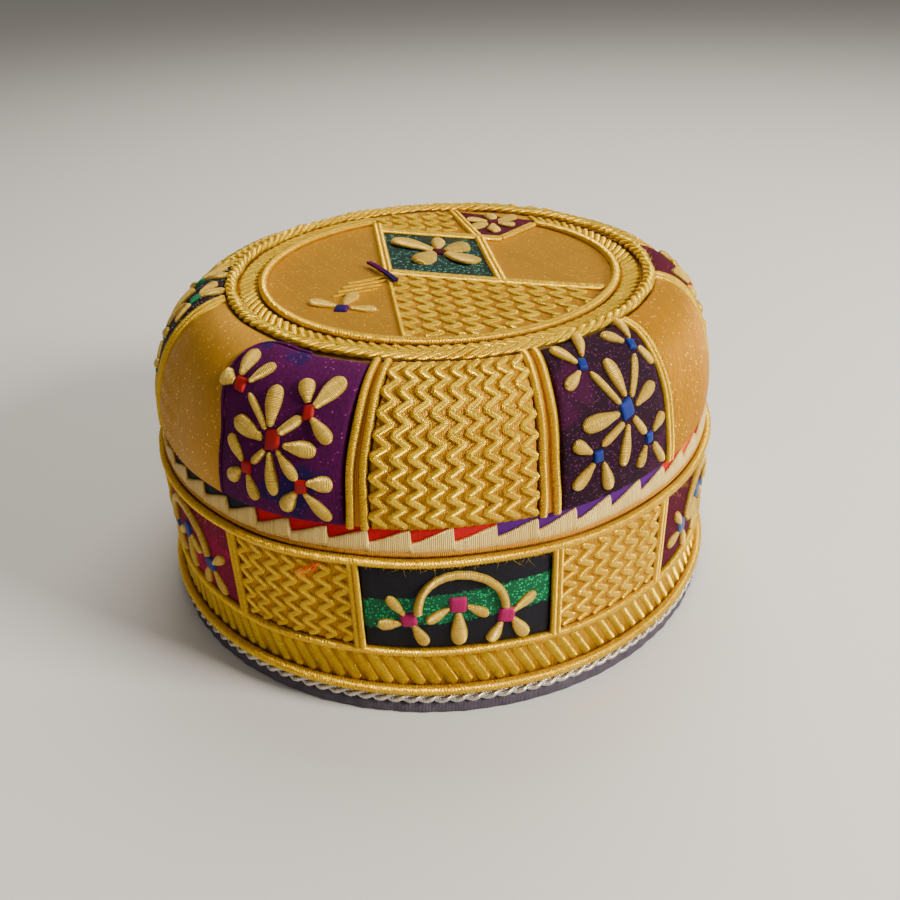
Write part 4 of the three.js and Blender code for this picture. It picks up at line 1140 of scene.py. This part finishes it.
def bulged(place, head):
    """A panel's places with its left edge moved over the satin beside it in the upper half, as an
    S-shaped step, and back again round a quarter circle at the top corner."""
    def moved(x, y, lift=0.0):
        x, y = np.asarray(x, float), np.asarray(y, float)
        near_left = smooth((BULGE_FROM - x) / BULGE_WIDTH)
        out = near_left * smooth((y - BULGE_LOW) / BULGE_CLIMB)
        corner = 1 - np.sqrt(1 - np.clip((y - head + BULGE_CORNER) / BULGE_CORNER, 0, 1) ** 2)
        return place(x - BULGE * out + BULGE_INSET * corner * near_left, y, lift + BULGE_RISE * out)
    return moved


CROWN_PANEL_HALF = (CROWN_PANEL_HEAD - CROWN_PANEL_FOOT) / 2
PLAIN_STEPS = (76, 90)  # of the pads under zigzags and satin


def make_crown_plain(k):
    """A zigzag panel, or a satin one whose quilting dies out upwards and to the right."""
    half = CROWN_PLAIN_HALF * CROWN_RADIUS - DIVIDER_CLEAR - GAP
    ends = (-CROWN_PANEL_HALF, CROWN_PANEL_HALF)
    place = crown_place(k * PAIR / 2)
    kind = "zigzag" if k % 4 == 0 else "satin"
    name = f"crown_{kind}_{k + 1}"
    piece = Piece(name + "_stitched")
    if kind == "zigzag":
        put_pad(piece, "gold_ground", place, (-half, half), ends, steps=PLAIN_STEPS,
                crease=chevrons(half, CROWN_COLUMNS, CROWN_PERIOD, 0.6))
        put_zigzags(piece, "gold_couching", place, half, CROWN_PANEL_HALF, CROWN_COLUMNS, CROWN_PERIOD,
                    GAP + PANEL_THICK - 0.5, radius=1.12)
    else:
        quilt = chevrons(half, CROWN_COLUMNS, CROWN_PERIOD, 0.55)
        finish, reach = ("gold_satin", half + SATIN_REACH) if k == LEFT_SATIN else ("gold_satin_bright", half)
        put_pad(piece, finish, place, (-half, reach), ends, steps=PLAIN_STEPS,
                crease=lambda x, y: quilt(x, y) * smooth((14 - y) / 22) * smooth((10 - x) / 16))
    piece.make(name)


def make_crown_flower(k):
    """A velvet panel with padded petals round five hearts. The two beside the front are wider, and the
    others take their pattern squeezed and shifted."""
    half = (PAIR / 2 - CROWN_PLAIN_HALF) * CROWN_RADIUS - DIVIDER_CLEAR - GAP
    lift = GAP + PANEL_THICK
    name = f"crown_flower_{k + 1}"
    piece = Piece(name + "_stitched")
    ground, heart = CROWN_VELVETS[k]
    reach = VELVET_REACH.get(k, (-half, half))
    head = CROWN_PANEL_HALF - (1.5 if k == FRONT_LEFT else 0)
    place = crown_place(k * PAIR / 2)
    place = bulged(place, head) if k == FRONT_LEFT else place
    put_pad(piece, ground, place, reach, (-CROWN_PANEL_HALF, head), steps=(30, 44))
    first = k % 4 == 3
    petals, hearts = (CROWN_PETALS_A, CROWN_HEARTS_A) if first else (CROWN_PETALS_B, CROWN_HEARTS_B)
    squeeze, shift = (1.0, 0.0) if k in VELVET_REACH else (SQUEEZED, 2.6 if first else -2.0)
    fitted = lambda p: (p[0] * squeeze + shift, p[1])
    for start, end, width in petals:
        root, rise = (0.8, 1.05) if width < STEM_WIDTH else (0.42, 1.45)
        put_petal(piece, place, fitted(start), fitted(end), width * (0.9 + 0.1 * squeeze), lift=lift,
                  root=root, rise=rise)
    for centre, size in hearts:
        put_heart(piece, heart, place, fitted(centre), size * 0.8, lift)
    if k == FRONT_LEFT:
        y = np.concatenate([np.linspace(-CROWN_PANEL_HALF, head, 150), np.full(60, head)])
        x = np.concatenate([np.full(150, reach[0]), np.linspace(reach[0], -4, 60)])
        put_cord(piece, "velvet_purple", place, x, y, 0.55, lift=GAP + 0.7, ridge=0.05)
    piece.make(name)


def make_crown_divider(k):
    """An ochre ground at the seam between two crown panels, under a pair of cords. One is narrow, and
    one lies half under the velvet and has no cords."""
    seam = k // 2 * PAIR + (CROWN_PLAIN_HALF if k % 2 else -CROWN_PLAIN_HALF)
    piece = Piece(f"crown_divider_{k + 1}_cords")
    place = crown_place(seam)
    narrow, covered = k == NARROW_DIVIDER, k == COVERED_DIVIDER
    low, high = (0.4, 3.0) if narrow else (-3.0, -1.25) if covered else (-2.9, 2.9)
    put_pad(piece, "ochre_edge", place, (low, high), (-CROWN_PANEL_HALF, CROWN_PANEL_HALF), steps=(8, 40),
            thick=0.4 if covered else 0.8)
    y = np.linspace(-CROWN_PANEL_HALF, CROWN_PANEL_HALF, 230)
    spread = (0.9, 2.4) if narrow else () if covered else (-CROWN_CORD_SPREAD, CROWN_CORD_SPREAD)
    for side in spread:
        x = side + 0.15 * np.sin(y * 0.3 + k) + (0.25 * np.abs(y / CROWN_PANEL_HALF) ** 3) * np.sign(side)
        put_cord(piece, "gold_cord", place, x, y, CROWN_CORD * (0.75 if narrow else 0.95), lift=GAP + 0.75,
                 ridge=0.05, pitch=0.7, ends=0.01, flat=1.1)
    piece.make(f"crown_divider_{k + 1}")


# Round top

def lattice_at(u, v):
    """Places of the lattice on the top: u across and v away, each leaning from square by the skew."""
    across = LATTICE_TURN - LATTICE_SKEW
    away = np.pi / 2 + LATTICE_TURN + LATTICE_SKEW
    u, v = np.broadcast_arrays(u, v)
    return np.cos(across) * u + np.cos(away) * v, LATTICE_OFFSET + np.sin(across) * u + np.sin(away) * v


def lattice_place(u, v, lift):
    """Point on the round top by a place of the lattice."""
    x, y = lattice_at(np.asarray(u, float), np.asarray(v, float))
    return top_at(x, y, lift)


def reach_to_field(at, low, high, radius):
    """The stretch of a straight lattice line, between low and high, that lies inside a radius."""
    t = np.linspace(low, high, 400)
    x, y = at(t)
    inside = np.hypot(x, y) < radius
    return (t[inside].min(), t[inside].max()) if inside.any() else None


TOP_PETALS = [
    ((-0.4, 4.6), (-13.8, 12.6), 4.6),
    ((-0.6, 2.0), (-6.8, -10.0), 4.4),
    ((3.8, 2.2), (14.2, -4.6), 4.6),
    ((4.0, 5.0), (13.4, 12.0), 4.2),
    ((1.6, 6.2), (3.2, 16.0), 2.6),
]
TOP_LIFT = 1.1
TOP_COLUMNS = 6
TOP_COLUMN = CELL_WIDTH / TOP_COLUMNS

# Pairs of cords on the lattice: the way they run, the place of the line on the other way, and the ends
# along it, None for the edge of the field
LATTICE_CORDS = [
    ("across", -CELL_DEPTH / 2, -CELL_WIDTH / 2, None),
    ("across", CELL_DEPTH / 2, -CELL_WIDTH / 2, 27.0),
    ("away", -CELL_WIDTH / 2, -CELL_DEPTH / 2, None),
    ("away", CELL_WIDTH / 2, -CELL_DEPTH / 2, CELL_DEPTH / 2),
]
# Two more on the top itself, from a place to a place: beside the back zigzags and beyond the patch
TOP_CORDS = [((16.0, 31.0), (9.6, 60.8)), ((23.4, 27.8), (37.2, 41.0))]
TOP_CORD_SPREAD = 0.85
BEYOND_FIELD = 80  # past the edge of the field, whichever way
BRAID_STITCHES = 110
BRAID_SLANT = 0.058
BRAID_CLEAR = 0.06  # how far the braid's stitches run on into the opening at the back
PLAIT_STRANDS = 3
PLAIT_LAYS = 37
# Corners of the velvet patch behind them
BACK_PATCH = [(17.4, 32.0), (23.2, 29.6), (38.6, 45.6), (12.0, 61.0)]
BACK_OPENING = (np.radians(138), np.radians(202))  # here the pattern runs on over the border to its edge
BACK_RADIUS = 62.4
PATCH_STEPS = 24
PATCH_THICK = 0.5

# The flower on the front left satin: three petals with start, end and half width, and their heart
FRONT_LEFT_PETALS = [
    ((-32.4, -25.6), (-40.4, -20.4), 2.8),
    ((-30.0, -24.6), (-26.6, -15.8), 2.2),
    ((-28.2, -27.6), (-20.4, -29.8), 1.9),
]
FRONT_LEFT_HEART = (-30.6, -27.4)


def put_top_patch(piece, finish, corners):
    """A velvet patch on the round top: a bilinear blend of four corner places, raised a little."""
    a, b, c, d = (np.array(p, float) for p in corners)
    u, v = np.meshgrid(np.linspace(0, 1, PATCH_STEPS), np.linspace(0, 1, PATCH_STEPS), indexing="ij")
    rim = np.minimum(np.minimum(u, 1 - u), np.minimum(v, 1 - v))
    u, v = u[..., None], v[..., None]
    place = (1 - u) * (1 - v) * a + u * (1 - v) * b + u * v * c + (1 - u) * v * d
    height = TOP_LIFT + PATCH_THICK * smooth(rim / 0.06)
    piece.add(top_at(place[..., 0], place[..., 1], height), finish, uv=place)


def put_top_zigzags(piece, columns, away_from, away_to, limit):
    """Columns of couched zigzag cord on the lattice, each as far as the limit of radius."""
    for c in columns:
        centre = -CELL_WIDTH / 2 + (c + 0.5) * TOP_COLUMN
        span = reach_to_field(lambda t: lattice_at(centre, t), away_from, away_to, limit)
        if not span or span[1] - span[0] < 4:
            continue
        t = np.linspace(span[0] + 0.6, span[1] - 0.6, int((span[1] - span[0]) * 2.4))
        put_cord(piece, "gold_couching", lattice_place, centre + zigzag(t, 7.0, TOP_COLUMN * 0.38), t, 0.9,
                 lift=TOP_LIFT + 0.1, shade=0.3 + 0.5 * rng.random(), **FLAT_STITCH)


def put_back_flower(piece):
    """Six petals evenly round a heart on the patch at the back, without any that would pass the edge."""
    centre, size, lift = np.array((22.6, 45.0)), 2.2, TOP_LIFT + PATCH_THICK
    for k in range(6):
        angle = 0.5 + k / 6 * TURN
        way = np.array([np.cos(angle), np.sin(angle)])
        end = centre + way * (9.6 + 0.8 * np.sin(3 * angle))
        if np.hypot(*end) < BACK_RADIUS:
            put_petal(piece, top_at, centre + way * size, end, 2.5, lift=lift, rise=1.25)
    put_heart(piece, "velvet_maroon", top_at, tuple(centre), size, lift)


def make_top_panels():
    """The nine fields of the lattice, each a grid on it cut to the round field, with what is sewn on."""
    wide, deep, reach = CELL_WIDTH / 2, CELL_DEPTH / 2, 90.0
    spans = {"left": (-reach, -wide), "": (-wide, wide), "right": (wide, reach)}
    rows = {"front": (-reach, -deep), "": (-deep, deep), "back": (deep, reach)}
    kinds = {(0, 0): "flower", (0, 1): "zigzag", (1, 0): "satin", (1, 1): "corner"}
    for (side, (u0, u1)), (depth, (v0, v1)) in itertools.product(spans.items(), rows.items()):
        u = np.linspace(u0, u1, 90 if side else 48)
        v = np.linspace(v0, v1, 90 if depth else 48)
        gu, gv = np.meshgrid(u, v, indexing="ij")
        x, y = lattice_at((gu[:-1, :-1] + gu[1:, 1:]) / 2, (gv[:-1, :-1] + gv[1:, 1:]) / 2)
        field = (side, depth)
        limit = BACK_RADIUS if field == ("", "back") else FIELD_RADIUS
        kind = kinds[bool(side), bool(depth)]
        stitched = kind == "zigzag" or field == ("right", "front")
        finish = "velvet_green" if kind == "flower" else "gold_ground" if stitched else "gold_satin"
        name = "_".join(part for part in ("top", kind, depth, side) if part)
        piece = Piece(name + "_stitched")
        # The stitched ground gets a low shade: painted shade between the raised zigzag cords
        piece.add(lattice_place(gu, gv, TOP_LIFT), finish, np.stack([gu, gv], -1),
                  keep=np.hypot(x, y) < limit + 0.5, shade=0.15 if stitched else 0.5)
        if kind == "flower":
            for start, end, width in TOP_PETALS:
                put_petal(piece, lattice_place, start, end, width, lift=TOP_LIFT, rise=1.7)
            put_heart(piece, "velvet_maroon", lattice_place, (1.7, 3.4), 2.2, TOP_LIFT)
        elif kind == "zigzag":
            columns = range(TOP_COLUMNS if depth == "front" else TOP_COLUMNS - 1)
            put_top_zigzags(piece, columns, v0, v1, limit - 1)
        elif field == ("right", "front"):
            put_top_zigzags(piece, range(TOP_COLUMNS, TOP_COLUMNS + 4), v0, v1, limit - 1)
        elif field == ("right", "back"):
            put_top_patch(piece, "velvet_maroon", BACK_PATCH)
            put_back_flower(piece)
        elif field == ("left", "front"):
            dress_front_left(piece)
        piece.make(name)


def make_top_lattice():
    """Pairs of cords on the lattice lines and round the patch, and one cord more on the left line."""
    lattice = Piece("top_lattice_cords")
    limit = FIELD_RADIUS - 0.4
    for way, fixed, low, high in LATTICE_CORDS:
        for offset in (-TOP_CORD_SPREAD, TOP_CORD_SPREAD):
            line = fixed + offset
            at = lambda t: lattice_at(t, line) if way == "across" else lattice_at(line, t)
            span = reach_to_field(at, low, BEYOND_FIELD if high is None else high, limit)
            x, y = at(np.linspace(*span, 260))
            put_cord(lattice, "gold_cord", top_at, x, y, 0.95, lift=1.35, ends=0.01, **PAIRED)
    left_line = lambda t: lattice_at(-CELL_WIDTH / 2, t)
    span = reach_to_field(left_line, -BEYOND_FIELD, -CELL_DEPTH / 2, limit)
    x, y = left_line(np.linspace(*span, 160))
    put_cord(lattice, "gold_ridge", top_at, x, y, 0.8, lift=1.2, ridge=0.06, ends=0.01)
    t = np.linspace(0, 1, 160)
    for (x0, y0), (x1, y1) in TOP_CORDS:
        for offset in (-TOP_CORD_SPREAD, TOP_CORD_SPREAD):
            put_cord(lattice, "gold_cord", top_at, x0 + (x1 - x0) * t + offset, y0 + (y1 - y0) * t, 0.9,
                     lift=1.4, ends=0.01, **PAIRED)
    lattice.make("top_lattice")


def make_field_cord():
    """The cord round the field, open at the back where the pattern runs on over it."""
    ring = Piece("field_cord_wrapped")
    angle = np.linspace(BACK_OPENING[1], BACK_OPENING[0] + TURN, 1500)
    put_cord(ring, "gold_cord", top_ring_at, angle, FIELD_RING, FIELD_CORD, lift=GAP + FIELD_CORD, ends=0.004,
             **STOUT)
    ring.make("field_cord")


def make_top_braid():
    """Short slanted stitches on a low ground between the field cord and the shoulder."""
    braid = Piece("top_braid_stitches")
    outer, inner = SHOULDER_RING - SHOULDER_CORD - GAP, FIELD_RING + FIELD_CORD + GAP
    radii = np.array([outer + 0.4, outer - 0.5, inner + 0.5, inner - 0.2])
    lifts = np.array([0.4, 0.9, 0.9, 0.4])
    grid = top_ring_at(ring_angles(300)[:, None], radii[None, :], lifts[None, :])
    braid.add(grid, "gold_ground", ring_u=True)
    t = np.linspace(-1, 1, BAR_STEPS)
    radius = (outer + inner) / 2 + t * (outer - inner) * 0.44
    for k in range(BRAID_STITCHES):
        middle = k / BRAID_STITCHES * TURN
        if BACK_OPENING[0] + BRAID_CLEAR < middle < BACK_OPENING[1] - BRAID_CLEAR:
            continue
        put_bar(braid, "gold_couching", top_ring_at, middle + t * BRAID_SLANT, radius, 0.95, 1.05, 0.15, 6,
                shade=0.1 + 0.7 * rng.random())
    braid.make("top_braid")


def make_shoulder_plait():
    """Three strands plaited round the shoulder: each swings by the cosine and sine of its turn, with an
    unevenness made of two waves."""
    plait = Piece("shoulder_plait")
    angle = ring_angles(PLAIT_LAYS * 40)
    radius = SHOULDER_RING + 0.2
    uneven = 1 + 0.18 * np.sin(angle * 11 + 1) + 0.14 * np.sin(angle * 29)
    offset = SHOULDER_CORD * 0.6 * uneven
    for s in range(PLAIT_STRANDS):
        turn = angle * PLAIT_LAYS + s / PLAIT_STRANDS * TURN
        thick = SHOULDER_CORD * (0.6 + 0.07 * np.sin(angle * 53 + s * 2))
        lift = GAP + SHOULDER_CORD + offset * np.sin(turn) * 0.75
        put_strand(plait, "gold_couching", top_ring_at, angle, radius, offset * np.cos(turn), lift, thick,
                   thick * 0.9, shade=0.35 + 0.15 * s)
    put_fuzz(plait, "gold_couching", top_ring_at, angle, radius, GAP + SHOULDER_CORD * 1.8, 900, length=1.2)
    plait.make("shoulder_braid")


def dress_front_left(piece):
    """Three petals round a purple heart on the satin, strands couched beside them, and a purple thread
    that lies loose over the corner of the flower cell."""
    for start, end, width in FRONT_LEFT_PETALS:
        put_petal(piece, top_at, start, end, width, lift=TOP_LIFT, rise=1.4)
    put_heart(piece, "velvet_purple", top_at, FRONT_LEFT_HEART, 2.1, TOP_LIFT)
    t = np.linspace(0, 1, 60)
    for shift in (-4.2, -0.6, 3.0, 6.6):
        x, y = -32.0 + 14.0 * t + shift * 0.4, -13.6 + 5.0 * t + shift
        put_cord(piece, "gold_ridge", top_at, x, y, 0.55, lift=TOP_LIFT + 0.2, ridge=0.05, pitch=0.8)
    for shift in (0.0, 0.9):
        x, y = -23.2 + 8.6 * t + shift, 8.4 - 18.0 * t + 1.2 * np.sin(t * np.pi)
        put_cord(piece, "velvet_purple", top_at, x, y, 0.6, lift=TOP_LIFT + 1.5, ridge=0.05, pitch=0.6)


# Camera, floor and light

FLOOR_HALF = 4.0
ROOM_COLOUR = (0.86, 0.82, 0.76, 1)
ROOM_STRENGTH = 0.26

# Soft lamps: name, place in metres, width, energy and colour
LAMPS = (
    ("key", (0.78, -0.42, 0.55), 0.3, 22, (1.0, 0.95, 0.86)),
    ("sky", (0.15, 0.5, 0.95), 0.7, 11, (1.0, 0.95, 0.87)),
    ("fill", (-0.6, -1.0, 0.5), 0.9, 1.5, (1.0, 0.88, 0.75)),
)
LAMP_TARGET = Vector((0, 0, 0.05))


def make_stage():
    """A square of pale paper, three soft lamps aimed at the cap and a dim room."""
    floor = bpy.data.meshes.new("floor")
    half = FLOOR_HALF
    corners = [(-half, -half, 0), (half, -half, 0), (half, half, 0), (-half, half, 0)]
    floor.from_pydata(corners, [], [(0, 1, 2, 3)])
    stage = bpy.data.objects.new("floor", floor)
    bpy.context.scene.collection.objects.link(stage)
    paper = bpy.data.materials.new("pale_paper")
    paper.use_nodes = True
    sockets = paper.node_tree.nodes["Principled BSDF"].inputs
    sockets["Base Color"].default_value = (0.62, 0.6, 0.57, 1)
    sockets["Roughness"].default_value = 0.8
    floor.materials.append(paper)

    for name, place, size, energy, colour in LAMPS:
        lamp = bpy.data.lights.new(name, "AREA")
        lamp.size = size
        lamp.energy = energy
        lamp.color = colour
        thing = bpy.data.objects.new(name, lamp)
        thing.location = place
        thing.rotation_euler = (LAMP_TARGET - Vector(place)).to_track_quat("-Z", "Y").to_euler()
        bpy.context.scene.collection.objects.link(thing)
    world = bpy.data.worlds.new("room")
    world.use_nodes = True
    background = world.node_tree.nodes["Background"].inputs
    background["Color"].default_value = ROOM_COLOUR
    background["Strength"].default_value = ROOM_STRENGTH
    bpy.context.scene.world = world


# The photograph's camera, fitted to the rings of the cap: where it stands, in millimetres from the
# middle of the rim and above the floor, how it looks, and its focal length in pixels of the frame
CAMERA_TURN = np.radians(-2.5)
CAMERA_DISTANCE = 280.3
CAMERA_HEIGHT = 202.1
CAMERA_PITCH = np.radians(31.24)
CAMERA_ROLL = np.radians(-1.98)
CAMERA_YAW = np.radians(0.98)
FOCAL_PIXELS = 910
FRAME_PIXELS = 900
SENSOR_WIDTH = 36


def make_camera():
    """The camera looks along its heading and pitch, rolled about that line."""
    heading = CAMERA_YAW - CAMERA_TURN
    pitch, roll_angle = CAMERA_PITCH, CAMERA_ROLL
    forward = Vector((np.sin(heading) * np.cos(pitch), np.cos(heading) * np.cos(pitch), -np.sin(pitch)))
    right = Vector((np.cos(heading), -np.sin(heading), 0))
    up = right.cross(forward)
    side = right * np.cos(roll_angle) + up * np.sin(roll_angle)
    top = up * np.cos(roll_angle) - right * np.sin(roll_angle)
    lens = bpy.data.cameras.new("camera")
    lens.sensor_fit = "HORIZONTAL"
    lens.sensor_width = SENSOR_WIDTH
    lens.lens = FOCAL_PIXELS / FRAME_PIXELS * SENSOR_WIDTH
    camera = bpy.data.objects.new("camera", lens)
    x, y = CAMERA_DISTANCE * np.sin(CAMERA_TURN), -CAMERA_DISTANCE * np.cos(CAMERA_TURN)
    basis = Matrix((side, top, -forward)).transposed().to_4x4()
    camera.matrix_world = Matrix.Translation(Vector((x, y, CAMERA_HEIGHT)) * MM) @ basis
    bpy.context.scene.collection.objects.link(camera)
    bpy.context.scene.camera = camera


make_camera()
make_stage()
make_binding()
make_twist()
make_hem()
make_slant_border()
make_band_panels()
make_band_frame()
make_tooth_border()
for k in range(PANELS):
    if k % 2 == 0:
        make_crown_plain(k)
    else:
        make_crown_flower(k)
for k in range(PANELS):
    make_crown_divider(k)
make_top_panels()
make_top_lattice()
make_field_cord()
make_top_braid()
make_shoulder_plait()

for node in ("band_wall", "crown_wall", "top_disc"):
    for slot in bpy.data.objects[node].material_slots:
        slot.material = FINISHES["backing_cloth"]

bpy.context.view_layer.update()
